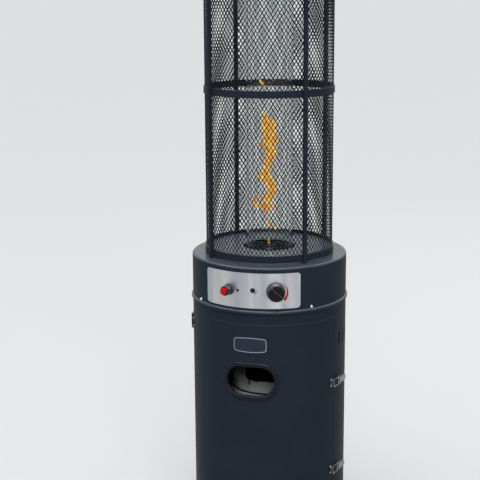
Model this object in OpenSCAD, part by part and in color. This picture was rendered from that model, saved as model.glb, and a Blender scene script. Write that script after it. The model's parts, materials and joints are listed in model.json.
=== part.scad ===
// Gas patio heater: bottle housing with a curved door, control drum, glass flame tube in a mesh cage.
// Millimetres, Z up, the floor at zero, the front facing minus Y.

/* [Housing] */
// Outer diameter of the housing and the control drum
body_d = 420; // [400:2:460]
// Thickness of the sheet metal
sheet = 1.2; // [1:0.1:1.8]
// Height of the bottle housing
housing_h = 680; // [660:5:760]
// Height of the control drum
drum_h = 128; // [124:1:150]
// Radius of the rounded top edge of the drum
drum_edge_r = 6; // [3:0.5:10]
// Radius of the rolled bead at the foot of the drum
bead_r = 7.5; // [6:0.5:9]
// How far the bead stands out from the wall
bead_proud = 4; // [2:0.5:5]
// Number of vent slots on each side
slot_count = 5; // [3:1:7]
// Width of a vent slot
slot_w = 7; // [4:0.5:9]
// Height of a vent slot
slot_h = 39; // [25:1:55]
// Distance of the slot centre below the housing top
slot_drop = 95; // [70:1:130]
// Angle of the first vent slot from the front
slot_angle = 77.6; // [75:0.1:90]
// Angle between vent slots
slot_step = 8.3; // [6:0.1:12]

/* [Base] */
// Height of the rubber feet
foot_h = 20; // [16:1:30]
// Radius of a rubber foot at its top
foot_r = 20; // [14:1:24]
// Radius on which the feet stand
foot_ring_r = 168; // [150:1:180]
// Thickness of the base pan
pan_t = 2; // [1.5:0.1:4]
// Height of the base pan rim
pan_rim_h = 42; // [25:1:54]
// Radius of a wheel
wheel_r = 38; // [34:1:44]
// Width of a wheel
wheel_w = 26; // [20:1:34]
// How far the wheel centres lie inside the side of the housing
wheel_set = 60; // [50:1:70]
// Radius of a wheel bolt
bolt_r = 5; // [4:0.5:7]

/* [Door] */
// Half of the angle the door spans
door_half_angle = 70; // [60:0.5:72]
// Gap round the door
door_gap = 1; // [0.6:0.1:2]
// Fixed strip of housing below the door
door_sill = 58; // [50:1:90]
// Fixed strip of housing above the door
door_head = 26; // [16:1:40]
// Width of the hand opening
hand_hole_w = 128; // [110:1:140]
// Height of the hand opening
hand_hole_h = 80; // [78:1:100]
// Corner radius of the hand opening
hand_hole_r = 38; // [15:1:38]
// Distance of the hand opening below the housing top
hand_hole_drop = 180; // [165:1:200]
// Width of the raised rim round the opening
rim_w = 11; // [8:0.5:18]
// How far the rim stands out
rim_proud = 4; // [2:0.5:7]
// Width of the plain plate on the door
plate_w = 90; // [60:1:110]
// Height of the plain plate
plate_h = 43; // [25:1:50]
// Corner radius of the plain plate
plate_r = 8; // [2:0.5:12]
// Thickness of the plain plate
plate_t = 1.5; // [1:0.1:3]
// Distance of the plain plate below the housing top
plate_drop = 80; // [55:1:90]

/* [Hinges and latches] */
// Distance of the hinges from the door ends
hinge_inset = 41; // [36:1:90]
// Height of a hinge
hinge_h = 40; // [36:1:80]
// Radius of a hinge pin
pin_r = 1.2; // [1:0.1:2.2]
// Radius of a hinge knuckle
knuckle_r = 2.2; // [2:0.1:5]
// Distance of the upper latch below the housing top
latch_drop = 210; // [190:1:260]
// Distance between the latches
latch_pitch = 250; // [200:5:300]
// Width of a latch lever
lever_w = 17.4; // [15:0.2:22]
// Length of a latch lever
lever_len = 38; // [36:1:54]
// Radius of the latch loop wire
wire_r = 1.25; // [1:0.05:1.6]
// Reach of the latch loop
loop_reach = 40; // [38.5:0.5:41]

/* [Controls] */
// Width of the control panel across the front
panel_w = 251; // [220:1:270]
// Height of the control panel
panel_h = 94; // [80:1:98]
// Corner radius of the control panel
panel_r = 8; // [2:0.5:16]
// Thickness of the control panel
panel_t = 1; // [0.8:0.1:2]
// Distance of the panel centre below the drum top
panel_drop = 61; // [56:0.5:66]
// Distance of the controls below the drum top
control_drop = 62; // [52:0.5:66]
// Angle of the control knob from the front
knob_angle = 18.6; // [14:0.1:26]
// Radius of the control knob
knob_r = 23; // [18:0.5:26]
// Length of the round part of the knob
knob_len = 17; // [14:0.5:24]
// Height of the grip on the knob
grip_h = 7; // [5:0.5:16]
// Width of the grip on the knob
grip_w = 13; // [8:0.5:16]
// Pointer direction of the knob at rest
knob_rest = -42; // [-90:1:90]
// Push travel of the knob
knob_travel = 4; // [2:0.2:5]
// Angle of the igniter from the front
igniter_angle = -15.7; // [-24:0.1:-12]
// Radius of the igniter button
button_r = 9; // [7:0.2:10]
// Push travel of the igniter button
button_travel = 7; // [4:0.5:8]
// Angle of the sight lens from the front
lens_angle = -8.8; // [-10:0.1:-4]
// Radius of the sight lens
lens_r = 3; // [2:0.1:4]
// Angle of the drum screws from the front
screw_angle = 45.7; // [42:0.1:60]
// Height of the drum screws above the housing top
screw_rise = 18; // [17:0.5:20]

/* [Burner and glass] */
// Height of the burner table above the drum top
table_rise = 14; // [10:0.5:20]
// Outer diameter of the glass tube
glass_d = 130; // [120:1:140]
// Gap between the glass tube and the edge of the table hole
hole_gap = 6; // [2:0.5:8]
// Wall thickness of the glass tube
glass_t = 4; // [3:0.2:6]
// Depth of the burner cup below its seat
cup_h = 60; // [50:1:64]
// Radius of the burner head
head_r = 42; // [30:1:44]
// Radius of the mixing tube
mix_r = 13; // [10:0.5:15]

/* [Cage] */
// Outer diameter of the cage rings
cage_d = 349; // [330:1:360]
// Height of a cage ring
ring_h = 19; // [14:0.5:24]
// Thickness of a cage ring
ring_t = 3; // [2:0.1:4]
// Width of a square post
post_w = 10; // [8:0.5:14]
// Height from one ring to the next
ring_pitch = 427; // [400:1:450]
// Gap under the lowest ring
ring_lift = 4; // [1:0.5:8]
// Thickness of the mesh
mesh_t = 0.6; // [0.5:0.1:2]
// Openings round the mesh in one row
mesh_columns = 20; // [12:1:24]
// Rows of openings in one mesh, each half an opening above the last
mesh_rows = 9; // [5:2:15]
// Solid edge of the mesh beside a cage ring
mesh_edge = 2; // [1:0.5:8]
// How far the top cap stands out past the posts
cap_over = 5.5; // [4:0.5:12]
// Depth of the top cap
cap_h = 32; // [24:1:44]
// Open height under the top cap
cap_gap = 62; // [50:1:90]

/* [Gas bottle] */
// Diameter of the gas bottle
bottle_d = 300; // [280:2:304]
// Wall thickness of the gas bottle
bottle_wall = 3; // [2:0.2:4]
// Height of the bottle up to the centre of its domed top
bottle_body_h = 318; // [280:2:330]
// Diameter of the bottle collar
collar_d = 208; // [196:2:220]
// Height of the collar top above the bottle foot
collar_top_h = 570; // [560:2:576]
// Width of the hand-holds in the collar
hold_w = 130; // [100:2:140]
// Height of the hand-holds in the collar
hold_h = 62; // [46:1:64]
// Radius of the hose
hose_r = 6; // [5:0.5:8]

/* [Hidden] */
$fn = 96;
fit = 0.3;
run = 0.05;
seat_gap = 0.3;

body_r = body_d / 2;
floor_z = foot_h + pan_t;
housing_top = floor_z + housing_h;
drum_top = housing_top + drum_h;
inner_r = body_r - sheet;

pan_r = body_r + fit + 1.5;
front_foot_angle = 35;
wheel_gap = 3;
wheel_track = body_d - 2 * wheel_set;
wheel_in = wheel_track / 2 - wheel_w / 2;
wheel_out = wheel_track / 2 + wheel_w / 2;
cheek_t = 3;
cheek_x1 = wheel_in - 1;
cheek_x0 = cheek_x1 - cheek_t;
bracket_w = 28;
foot_clear = 4;
rear_foot_x = cheek_x1 - bracket_w - foot_clear - foot_r;
rear_foot_angle = 180 - asin(rear_foot_x / foot_ring_r);
bracket_y0 = foot_ring_r - 58;
bracket_end = 14;
axle_y = sqrt(pan_r * pan_r - wheel_in * wheel_in) + wheel_gap + wheel_r;
axle_z = wheel_r + 2.5;
cheek_y0 = sqrt(pan_r * pan_r - cheek_x0 * cheek_x0) + 0.6;
tyre_t = 9;

gap_deg = door_gap / body_r * 180 / PI;
seam = door_half_angle + gap_deg / 2;
cut_angle = door_half_angle + gap_deg;
door_z0 = floor_z + door_sill;
door_z1 = housing_top - door_head;
jamb_t = 1.5;
jamb_r = inner_r - fit - jamb_t;
jamb_edge = 8;
jamb_lap = 7;
jamb_out = door_half_angle + 4;
jamb_in = door_half_angle - 3;
hand_hole_z = housing_top - hand_hole_drop;
plate_z = housing_top - plate_drop;
slot_z = housing_top - slot_drop;
plate_gap = 0.05;

leaf_t = 1.2;
hinge_proud = leaf_t + knuckle_r;
hinge_levels = [door_z1 - hinge_inset, door_z0 + hinge_inset];
knuckle_gap = 0.4;
leaf_span = 6.2;

latch_angle = seam + 6.4;
latch_levels = [housing_top - latch_drop, housing_top - latch_drop - latch_pitch];
latch_axis_z = 5.5;
lever_x = -10;
loop_x = 2;
lever_nose = 3.7;
lever_t = 1.2;
lever_tip = lever_w / 2;
latch_pin_r = 1.5;
ear_y = lever_w / 2 - lever_t - 2;
ear_t = 1.2;
ear_r = lever_nose - lever_t - 0.3;
loop_y = lever_w / 2 + 0.65 + wire_r;
keeper_x = loop_reach - loop_x;
keeper_r = sqrt(pow(body_r + latch_axis_z, 2) + keeper_x * keeper_x);
keeper_angle = latch_angle - atan(keeper_x / (body_r + latch_axis_z));
hook_h = keeper_r - body_r - wire_r - 0.7;
keeper_h = 22;
rivet_r = 2.6;
rivet_y = keeper_h / 2 - rivet_r - 0.6;

panel_z = drum_top - panel_drop;
control_z = drum_top - control_drop;
screw_z = housing_top + screw_rise;
bead_half = sqrt(bead_r * bead_r - pow(bead_r - bead_proud, 2));
joint_ring_t = 2;
joint_below = 12;
joint_above = 24;
joint_ring_r = inner_r - 0.1;
shield_r = joint_ring_r - joint_ring_t - 0.1;
shield_z = housing_top - 10;
shield_t = 1.5;
hose_slot_r = body_r - 55;
hose_slot_w = 34;
hose_slot_h = 60;
vent_ring_r = body_r - 90;
vent_r = 14;
nut_h = 6;
igniter_neck = 11;
igniter_front = panel_t + nut_h + 17;
button_back = igniter_front - 9;
stem_r = 4;
neck_r = 9;
neck_front = 2.5;
bezel_front = 3.6;
knob_back = bezel_front + knob_travel + 0.4;
washer_t = 1;

cage_r = cage_d / 2;
glass_r = glass_d / 2;
table_t = 1.5;
table_r = cage_r - ring_t - mesh_t - 2.8;
table_hole_r = glass_r + hole_gap;
table_z = drum_top + table_rise;
top_hole_r = table_r - 14;
table_screw_r = table_hole_r + 35;
table_screw_angle = 34;
seat_drop = 6;
seat_floor_z = table_z - table_t - seat_drop;
seat_t = 2;
seat_wall_r = table_hole_r + 2;
glass_z0 = seat_floor_z + seat_t;
cup_r = glass_r - 10;
cup_z0 = seat_floor_z - cup_h;
head_z0 = cup_z0 + 26;
head_h = 26;
mix_z0 = cup_z0 - 34;
jet_h = 16;
jet_r = 14;
jet_flat = jet_r * cos(30);
pilot_r = cup_r - 8;
pilot_w = 32;
pilot_pitch = 11;
pilot_tube_h = 30;
spark_rod_h = 34;
lead_rise = 20;
lead_z = head_z0 - 2;
probe_z = head_z0 + 6;
pilot_y = sqrt(pow(cup_r - 2, 2) - pilot_w * pilot_w / 4) - 0.1;

ring_levels = [for (i = [0 : 2]) drum_top + ring_lift + i * ring_pitch];
screw_beside_post = 4.5;
mesh_r = cage_r - ring_t;
mesh_open = 0.78;
cell_w = 2 * PI * mesh_r / mesh_columns;
cell_h = 2 * (ring_pitch - ring_h - 2 * mesh_edge) / (mesh_rows + 1);
post_angles = [45, 135, -135, -45];
cage_screw_angles = [for (a = post_angles) a - sign(a) * sign(90 - abs(a)) * screw_beside_post];
post_r = cage_r + post_w / 2;
top_ring_z = ring_levels[2] + ring_h;
cap_r = post_r + post_w / 2 + cap_over;
cap_edge = cap_over - 0.5;
cap_t = 1.5;
cap_z0 = top_ring_z + cap_gap;
cap_z1 = cap_z0 + cap_h;
post_top = cap_z1 - cap_t;
spider_t = 3;
glass_z1 = top_ring_z + spider_t + 3;

bottle_r = bottle_d / 2;
dome_z = floor_z + bottle_body_h;
dome_top = dome_z + bottle_r;
collar_r = collar_d / 2;
collar_t = 2.5;
collar_z = dome_z + sqrt(bottle_r * bottle_r - collar_r * collar_r);
collar_top = floor_z + collar_top_h;
hold_angle = 14;
hold_r = 12;
hold_z = (collar_z + collar_top) / 2 - 4;
boss_top = dome_top + 10;
spout_z = boss_top + 24;
spindle_z = boss_top + 40;
reg_angle = 40;
reg_r = collar_r - collar_t - 30;
reg_z = spout_z;
reg_h = 26;
reg_body_r = 25;
spout_end = reg_r - reg_body_r - 2;
spigot_z = reg_z + reg_h / 2 + 18;

valve_back = -62;
outlet_len = 10;
pilot_outlet = 8;
valve_half = 20;
igniter_back = 44;
inlet_in = -45;
inlet_drop = 36;
pipe_bend = 55;
lead_bend = 26;
spark_bend = 50;

// Shared shapes

module tube(r0, r1, z0, z1) {
    rotate_extrude() translate([r0, z0]) square([r1 - r0, z1 - z0]);
}

module arc(r0, r1, z0, z1, a0, a1) {
    rotate([0, 0, a0 - 90])
        rotate_extrude(angle = a1 - a0)
            translate([r0, z0]) square([r1 - r0, z1 - z0]);
}

module on_wall(a, z, r = body_r) {
    rotate([0, 0, a]) translate([0, -r, z]) rotate([90, 0, 0]) children();
}

module rounded(w, h, r) {
    square([w - 2 * r, h], center = true);
    square([w, h - 2 * r], center = true);
    for (x = [-1, 1], y = [-1, 1])
        translate([x * (w / 2 - r), y * (h / 2 - r)]) circle(r);
}

module prism(a, z, w, h, r) {
    on_wall(a, z) translate([0, 0, -body_r * 0.7])
        linear_extrude(body_r * 0.7 + 30) rounded(w, h, r);
}

module dome(r, h) {
    rs = (r * r + h * h) / (2 * h);
    intersection() {
        translate([0, 0, h - rs]) sphere(rs);
        cylinder(r = r + 1, h = h + 1);
    }
}

module screw(r, h, shank_r, shank) {
    dome(r, h);
    translate([0, 0, -shank]) cylinder(r = shank_r, h = shank + 0.3);
}

module across(y0, y1) {
    translate([0, y1, 0]) rotate([90, 0, 0]) linear_extrude(y1 - y0) children();
}

// Bent tubes

function bez(p, t) = p[0] * pow(1 - t, 3) + p[1] * 3 * t * pow(1 - t, 2)
    + p[2] * 3 * t * t * (1 - t) + p[3] * pow(t, 3);
function route(p, n) = [for (i = [0 : n]) bez(p, i / n)];
function unit(v) = v / norm(v);
function heading(q, i) = unit(q[min(i + 1, len(q) - 1)] - q[max(i - 1, 0)]);
function square_to(n, t) = unit(n - t * (n * t));
function side_start(t) = abs(t[2]) > 0.7 ? [1, 0, 0] : [0, 0, 1];
function sides(q) = [
    for (i = 0, n = square_to(side_start(heading(q, 0)), heading(q, 0));
         i < len(q);
         i = i + 1, n = square_to(n, heading(q, min(i, len(q) - 1))))
        n
];
function tube_points(q, r, k) = let (s = sides(q)) [
    for (i = [0 : len(q) - 1])
        let (b = cross(heading(q, i), s[i]))
            for (j = [0 : k - 1])
                q[i] + r * (cos(360 * j / k) * s[i] + sin(360 * j / k) * b)
];
function tube_faces(n, k) = concat(
    [[for (j = [0 : k - 1]) j]],
    [[for (j = [k - 1 : -1 : 0]) (n - 1) * k + j]],
    [for (i = [0 : n - 2], j = [0 : k - 1])
        [i * k + j, (i + 1) * k + j, (i + 1) * k + (j + 1) % k]],
    [for (i = [0 : n - 2], j = [0 : k - 1])
        [i * k + j, (i + 1) * k + (j + 1) % k, i * k + (j + 1) % k]]
);

module bent(p, r, n = 14, k = 10) {
    q = route(p, n);
    polyhedron(points = tube_points(q, r, k), faces = tube_faces(n + 1, k), convexity = 4);
}

function polar(a, r, z) = [r * sin(a), -r * cos(a), z];
function inward(a, d) = [-d * sin(a), d * cos(a), 0];

// Base

module foot_spots() {
    for (a = [front_foot_angle, -front_foot_angle, rear_foot_angle, -rear_foot_angle])
        rotate([0, 0, a]) translate([0, -foot_ring_r, 0]) children();
}

module base_pan() {
    color("DimGray") union() {
        translate([0, 0, foot_h]) cylinder(r = pan_r, h = pan_t);
        tube(body_r + fit, pan_r, foot_h, foot_h + pan_rim_h);
    }
}

module rubber_feet() {
    color("Black") foot_spots() cylinder(r1 = foot_r - 3, r2 = foot_r, h = foot_h);
}

module wheel_bracket(side) {
    x0 = side > 0 ? cheek_x1 - bracket_w : -cheek_x1;
    c0 = side > 0 ? cheek_x0 : -cheek_x1;
    difference() {
        union() {
            translate([x0, bracket_y0, foot_h - cheek_t])
                cube([bracket_w, axle_y + bracket_end - bracket_y0, cheek_t]);
            translate([c0, cheek_y0, foot_h - cheek_t])
                cube([cheek_t, axle_y + bracket_end - cheek_y0, axle_z + bracket_end - foot_h + cheek_t]);
        }
        translate([0, axle_y, axle_z]) rotate([0, 90, 0])
            cylinder(r = bolt_r + run, h = body_d, center = true);
    }
}

module wheel_brackets() {
    color("DimGray") for (side = [-1, 1]) wheel_bracket(side);
}

module wheel_bolts() {
    color("Silver") for (side = [-1, 1]) translate([0, axle_y, axle_z]) rotate([0, side * 90, 0]) {
        translate([0, 0, cheek_x0 - 7]) cylinder(r = bolt_r, h = wheel_out + 7 - cheek_x0 + 1);
        translate([0, 0, cheek_x0 - 5]) cylinder(r = bolt_r + 4, h = 5, $fn = 6);
        translate([0, 0, wheel_out + 0.5]) dome(bolt_r + 5, 5);
    }
}

module wheel_hub(side) {
    translate([0, axle_y, axle_z]) rotate([0, side * 90, 0]) difference() {
        union() {
            tube(wheel_r - tyre_t - 4, wheel_r - tyre_t, wheel_in + 2, wheel_out - 2);
            tube(bolt_r + run, bolt_r + 6, wheel_in, wheel_out);
            tube(bolt_r + 4, wheel_r - tyre_t - 3, wheel_in + 10, wheel_out - 10);
        }
        for (i = [0 : 4]) rotate([0, 0, i * 72])
            translate([(wheel_r - tyre_t + bolt_r + 2) / 2, 0, wheel_in])
                cylinder(r = 4, h = wheel_w);
    }
}

module wheel_tyre(side) {
    translate([0, axle_y, axle_z]) rotate([0, side * 90, 0]) rotate_extrude() difference() {
        union() {
            translate([wheel_r - tyre_t, wheel_in]) square([tyre_t - 5, wheel_w]);
            translate([wheel_r - tyre_t, wheel_in + 5]) square([tyre_t, wheel_w - 10]);
            translate([wheel_r - 5, wheel_in + 5]) circle(5);
            translate([wheel_r - 5, wheel_out - 5]) circle(5);
        }
        translate([0, wheel_in - 1]) square([wheel_r - tyre_t, wheel_w + 2]);
    }
}

module left_wheel_hub() {
    color("Gray") wheel_hub(-1);
}

module right_wheel_hub() {
    color("Gray") wheel_hub(1);
}

module left_wheel_tyre() {
    color("Black") wheel_tyre(-1);
}

module right_wheel_tyre() {
    color("Black") wheel_tyre(1);
}

// Housing

module screw_holes() {
    for (a = [screw_angle, -screw_angle, 180 - screw_angle, screw_angle - 180])
        on_wall(a, screw_z) translate([0, 0, -9]) cylinder(r = 2.1, h = 18);
}

module housing_shell() {
    color("DarkSlateGray") difference() {
        tube(inner_r, body_r, floor_z, housing_top);
        arc(inner_r - 5, body_r + 5, door_z0 - door_gap, door_z1 + door_gap, -cut_angle, cut_angle);
        for (side = [-1, 1], i = [0 : slot_count - 1])
            on_wall(side * (slot_angle + i * slot_step), slot_z) translate([0, 0, -20])
                linear_extrude(40) rounded(slot_w, slot_h, slot_w / 2 - 0.01);
    }
}

module door_jambs() {
    color("SlateGray") difference() {
        arc(jamb_r, jamb_r + jamb_t, door_z0 - jamb_edge, door_z1 + jamb_edge, -jamb_out, jamb_out);
        arc(jamb_r - 1, jamb_r + jamb_t + 1, door_z0 + jamb_lap, door_z1 - jamb_lap, -jamb_in, jamb_in);
    }
}

module joint_ring() {
    color("Gray") difference() {
        tube(joint_ring_r - joint_ring_t, joint_ring_r, housing_top - joint_below, housing_top + joint_above);
        screw_holes();
    }
}

module heat_shield() {
    color("Silver") difference() {
        translate([0, 0, shield_z]) cylinder(r = shield_r, h = shield_t);
        on_wall(knob_angle, shield_z - 5, hose_slot_r) rotate([-90, 0, 0]) linear_extrude(12)
            rounded(hose_slot_w, hose_slot_h, hose_slot_w / 2 - 1);
        for (a = [90, 150, 210, 270]) rotate([0, 0, a]) translate([0, -vent_ring_r, shield_z - 1])
            cylinder(r = vent_r, h = shield_t + 2);
    }
}

// Door

module front_door() {
    color("DarkSlateGray") difference() {
        arc(inner_r, body_r, door_z0, door_z1, -door_half_angle, door_half_angle);
        prism(0, hand_hole_z, hand_hole_w, hand_hole_h, hand_hole_r);
    }
}

module opening_rim() {
    color("Black") difference() {
        intersection() {
            tube(body_r, body_r + rim_proud, hand_hole_z - hand_hole_h, hand_hole_z + hand_hole_h);
            prism(0, hand_hole_z, hand_hole_w + 2 * rim_w, hand_hole_h + 2 * rim_w, hand_hole_r + rim_w);
        }
        prism(0, hand_hole_z, hand_hole_w, hand_hole_h, hand_hole_r);
    }
}

module door_plate() {
    color("Silver") intersection() {
        tube(body_r + plate_gap, body_r + plate_t, plate_z - plate_h, plate_z + plate_h);
        prism(0, plate_z, plate_w, plate_h, plate_r);
    }
}

module knuckle(z0, z1, side) {
    on_wall(-seam, 0) difference() {
        union() {
            across(z0, z1) translate([0, hinge_proud]) circle(knuckle_r);
            across(z0, z1) translate([side > 0 ? knuckle_r - 2 : -knuckle_r, 0.4])
                square([2, hinge_proud - 0.4]);
        }
        across(z0 - 1, z1 + 1) translate([0, hinge_proud]) circle(pin_r + run);
    }
}

module hinge_frame_leaves() {
    color("Silver") for (z = hinge_levels) {
        arc(body_r, body_r + leaf_t, z - hinge_h / 2, z + hinge_h / 2, -seam - leaf_span, -seam - 0.5);
        knuckle(z - hinge_h / 2, z - hinge_h / 6 - knuckle_gap, -1);
        knuckle(z + hinge_h / 6 + knuckle_gap, z + hinge_h / 2, -1);
    }
}

module hinge_door_leaves() {
    color("Silver") for (z = hinge_levels) {
        arc(body_r, body_r + leaf_t, z - hinge_h / 2, z + hinge_h / 2, -seam + 0.55, -seam + leaf_span);
        knuckle(z - hinge_h / 6, z + hinge_h / 6, 1);
    }
}

module hinge_pins() {
    color("Silver") for (z = hinge_levels) on_wall(-seam, z) {
        across(-hinge_h / 2 - 1, hinge_h / 2 + 0.5) translate([0, hinge_proud]) circle(pin_r);
        across(hinge_h / 2 + 0.3, hinge_h / 2 + 2) translate([0, hinge_proud]) circle(pin_r + 1);
    }
}

module latch_bases() {
    color("Silver") for (z = latch_levels) on_wall(latch_angle, z) {
        translate([lever_x - 5, -ear_y - 0.5, 0]) cube([lever_len, 2 * ear_y + 1, 1.2]);
        for (y = [-ear_y, ear_y - ear_t]) across(y, y + ear_t) {
            translate([lever_x, latch_axis_z]) circle(ear_r);
            translate([lever_x - ear_r, 0]) square([2 * ear_r, latch_axis_z]);
        }
        across(-lever_w / 2 - 0.3, lever_w / 2 + 0.3) translate([lever_x, latch_axis_z])
            circle(latch_pin_r);
        translate([lever_x + 24, 0, 1]) dome(3.2, 1.6);
    }
}

module latch_lever(z) {
    on_wall(latch_angle, z) difference() {
        union() {
            for (y = [-lever_w / 2, lever_w / 2 - lever_t]) across(y, y + lever_t) union() {
                translate([lever_x, latch_axis_z]) circle(lever_nose);
                translate([lever_x, latch_axis_z - 2.5])
                    square([lever_len - lever_tip + 2, 2.5 + lever_nose]);
            }
            translate([lever_x + 2, 0, latch_axis_z + lever_nose - lever_t]) linear_extrude(lever_t) {
                translate([0, -lever_w / 2]) square([lever_len - lever_tip, lever_w]);
                translate([lever_len - lever_tip, 0]) circle(lever_tip);
            }
        }
        across(-lever_w, lever_w) translate([lever_x, latch_axis_z]) circle(latch_pin_r + run);
        across(-lever_w, lever_w) translate([loop_x, latch_axis_z]) circle(wire_r + run);
    }
}

module upper_latch_lever() {
    color("Gainsboro") latch_lever(latch_levels[0]);
}

module lower_latch_lever() {
    color("Gainsboro") latch_lever(latch_levels[1]);
}

module latch_loop(z) {
    on_wall(latch_angle, z) translate([loop_x, 0, latch_axis_z]) {
        across(-loop_y, loop_y) circle(wire_r);
        translate([-loop_reach, 0, 0]) across(-loop_y, loop_y) circle(wire_r);
        for (y = [-loop_y, loop_y]) translate([-loop_reach - wire_r * 0.8, y - wire_r, -wire_r * 0.8])
            cube([loop_reach + wire_r * 1.6, 2 * wire_r, wire_r * 1.6]);
    }
}

module upper_latch_loop() {
    color("Silver") latch_loop(latch_levels[0]);
}

module lower_latch_loop() {
    color("Silver") latch_loop(latch_levels[1]);
}

module latch_keepers() {
    color("Gainsboro") for (z = latch_levels) on_wall(keeper_angle, z) {
        translate([-6, -keeper_h / 2, 0]) cube([9, keeper_h, 1.5]);
        across(-5, 5) polygon([[-3, 0.5], [-3, hook_h - 1.8], [-5, hook_h - 1.8], [-5, hook_h],
            [-0.6, hook_h], [0.9, hook_h - 3], [1.6, 0.5]]);
        for (y = [-rivet_y, rivet_y]) translate([-1.5, y, 1.3]) dome(rivet_r, 1.6);
    }
}

// Control drum

module drum_section(inset, up) {
    square([body_r - drum_edge_r, drum_h - inset + up]);
    square([body_r - inset, drum_h - drum_edge_r + up]);
    translate([body_r - drum_edge_r, drum_h - drum_edge_r + up]) circle(drum_edge_r - inset);
}

module control_drum() {
    color("DarkSlateGray") difference() {
        translate([0, 0, housing_top]) rotate_extrude() {
            difference() {
                drum_section(0, 0);
                translate([0, -5]) drum_section(sheet, 5);
                square([top_hole_r, drum_h + 5]);
            }
            intersection() {
                translate([body_r + bead_proud - bead_r, bead_half + 0.3]) circle(bead_r);
                translate([inner_r + 0.1, 0]) square([bead_r * 2, bead_r * 3]);
            }
        }
        screw_holes();
        on_wall(igniter_angle, control_z) translate([0, 0, -8]) cylinder(r = igniter_neck + 0.1, h = 16);
        on_wall(knob_angle, control_z) translate([0, 0, -8]) cylinder(r = neck_r + 0.1, h = 16);
        on_wall(lens_angle, control_z) translate([0, 0, -8]) cylinder(r = lens_r + 0.1, h = 16);
    }
}

module control_panel() {
    color("Silver") difference() {
        intersection() {
            tube(body_r, body_r + panel_t, panel_z - panel_h, panel_z + panel_h);
            prism(0, panel_z, panel_w, panel_h, panel_r);
        }
        on_wall(igniter_angle, control_z) translate([0, 0, -8]) cylinder(r = igniter_neck + 0.1, h = 16);
        on_wall(knob_angle, control_z) translate([0, 0, -8]) cylinder(r = neck_r + 0.1, h = 16);
        on_wall(lens_angle, control_z) translate([0, 0, -8]) cylinder(r = lens_r + 0.1, h = 16);
    }
}

module drum_screws() {
    color("Gainsboro") {
        for (a = [screw_angle, -screw_angle, 180 - screw_angle, screw_angle - 180])
            on_wall(a, screw_z) screw(4.4, 2.8, 2, sheet + joint_ring_t + 1.5);
        table_screw_spots() screw(4.2, 2.4, 2, table_t + seat_t + 4);
    }
}

module igniter_body() {
    color("Black") on_wall(igniter_angle, control_z) difference() {
        union() {
            translate([0, 0, -igniter_back])
                cylinder(r = igniter_neck, h = igniter_back + panel_t + nut_h + 2);
            translate([0, 0, -8]) cylinder(r = igniter_neck + 4, h = 5);
            translate([0, 0, panel_t + nut_h]) cylinder(r = igniter_neck + 2, h = igniter_front - panel_t - nut_h);
        }
        translate([0, 0, button_back - button_travel - 1])
            cylinder(r = button_r + 0.3, h = button_travel + 20);
    }
}

module igniter_nut() {
    color("Black") on_wall(igniter_angle, control_z) difference() {
        translate([0, 0, panel_t]) cylinder(r = igniter_neck + 4.5, h = nut_h, $fn = 8);
        translate([0, 0, -1]) cylinder(r = igniter_neck + 0.1, h = nut_h + 10);
    }
}

module igniter_button() {
    color("Red") on_wall(igniter_angle, control_z) union() {
        translate([0, 0, button_back]) cylinder(r = button_r, h = 16);
        translate([0, 0, button_back + 16]) dome(button_r, 2.4);
    }
}

module sight_lens() {
    color("DarkRed") on_wall(lens_angle, control_z) translate([0, 0, panel_t])
        screw(lens_r + 0.9, 1.6, lens_r, 5);
}

module gas_valve() {
    color("Goldenrod") on_wall(knob_angle, control_z) difference() {
        union() {
            translate([-valve_half, -24, valve_back]) cube([2 * valve_half, 46, 46]);
            translate([0, 0, -18]) cylinder(r = neck_r, h = 18 + neck_front);
            translate([0, 0, -8]) cylinder(r = neck_r + 5, h = 5, $fn = 6);
            translate([0, -20, inlet_in]) rotate([90, 0, 0]) cylinder(r = 9, h = inlet_drop - 20);
            translate([0, 0, valve_back - outlet_len]) cylinder(r = 7, h = outlet_len + 2);
            translate([10, 12, valve_back - pilot_outlet]) cylinder(r = 4.5, h = pilot_outlet + 2);
        }
        translate([0, 0, -24]) cylinder(r = stem_r + run, h = 40);
    }
}

module stem_washer() {
    color("Silver") on_wall(knob_angle, control_z)
        tube(stem_r + run, stem_r + 4, knob_back - washer_t - 0.1, knob_back - 0.1);
}

module valve_stem() {
    color("Goldenrod") on_wall(knob_angle, control_z) translate([0, 0, -18])
        cylinder(r = stem_r, h = 18 + knob_back + 14);
}

module knob_base_ring() {
    color("Gray") on_wall(knob_angle, control_z) difference() {
        translate([0, 0, panel_t]) cylinder(r1 = knob_r + 2.5, r2 = knob_r + 1, h = bezel_front - panel_t);
        cylinder(r = neck_r + 0.3, h = 20);
    }
}

module control_knob() {
    color("Black") on_wall(knob_angle, control_z) difference() {
        union() {
            translate([0, 0, knob_back]) cylinder(r1 = knob_r, r2 = knob_r - 1, h = knob_len);
            intersection() {
                translate([0, 0, knob_back + 2]) cylinder(r = knob_r - 1, h = knob_len + grip_h);
                rotate([0, 0, knob_rest]) translate([-knob_r, -grip_w / 2, knob_back + 2])
                    cube([2 * knob_r, grip_w, knob_len + grip_h - 2]);
            }
        }
        translate([0, 0, knob_back - 1]) cylinder(r = stem_r + run, h = 15.1);
        rotate([0, 0, knob_rest]) translate([knob_r * 0.35, -0.8, knob_back + knob_len + grip_h - 0.6])
            cube([knob_r, 1.6, 2]);
    }
}

// Burner

module table_screw_spots() {
    for (a = [table_screw_angle, -table_screw_angle, 180 - table_screw_angle, table_screw_angle - 180])
        rotate([0, 0, a]) translate([0, -table_screw_r, table_z]) children();
}

module burner_table() {
    color("LightSlateGray") difference() {
        union() {
            tube(table_hole_r, table_r, table_z - table_t, table_z);
            tube(table_r - table_t, table_r, drum_top, table_z);
        }
        table_screw_spots() translate([0, 0, -5]) cylinder(r = 2.1, h = 10);
    }
}

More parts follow.
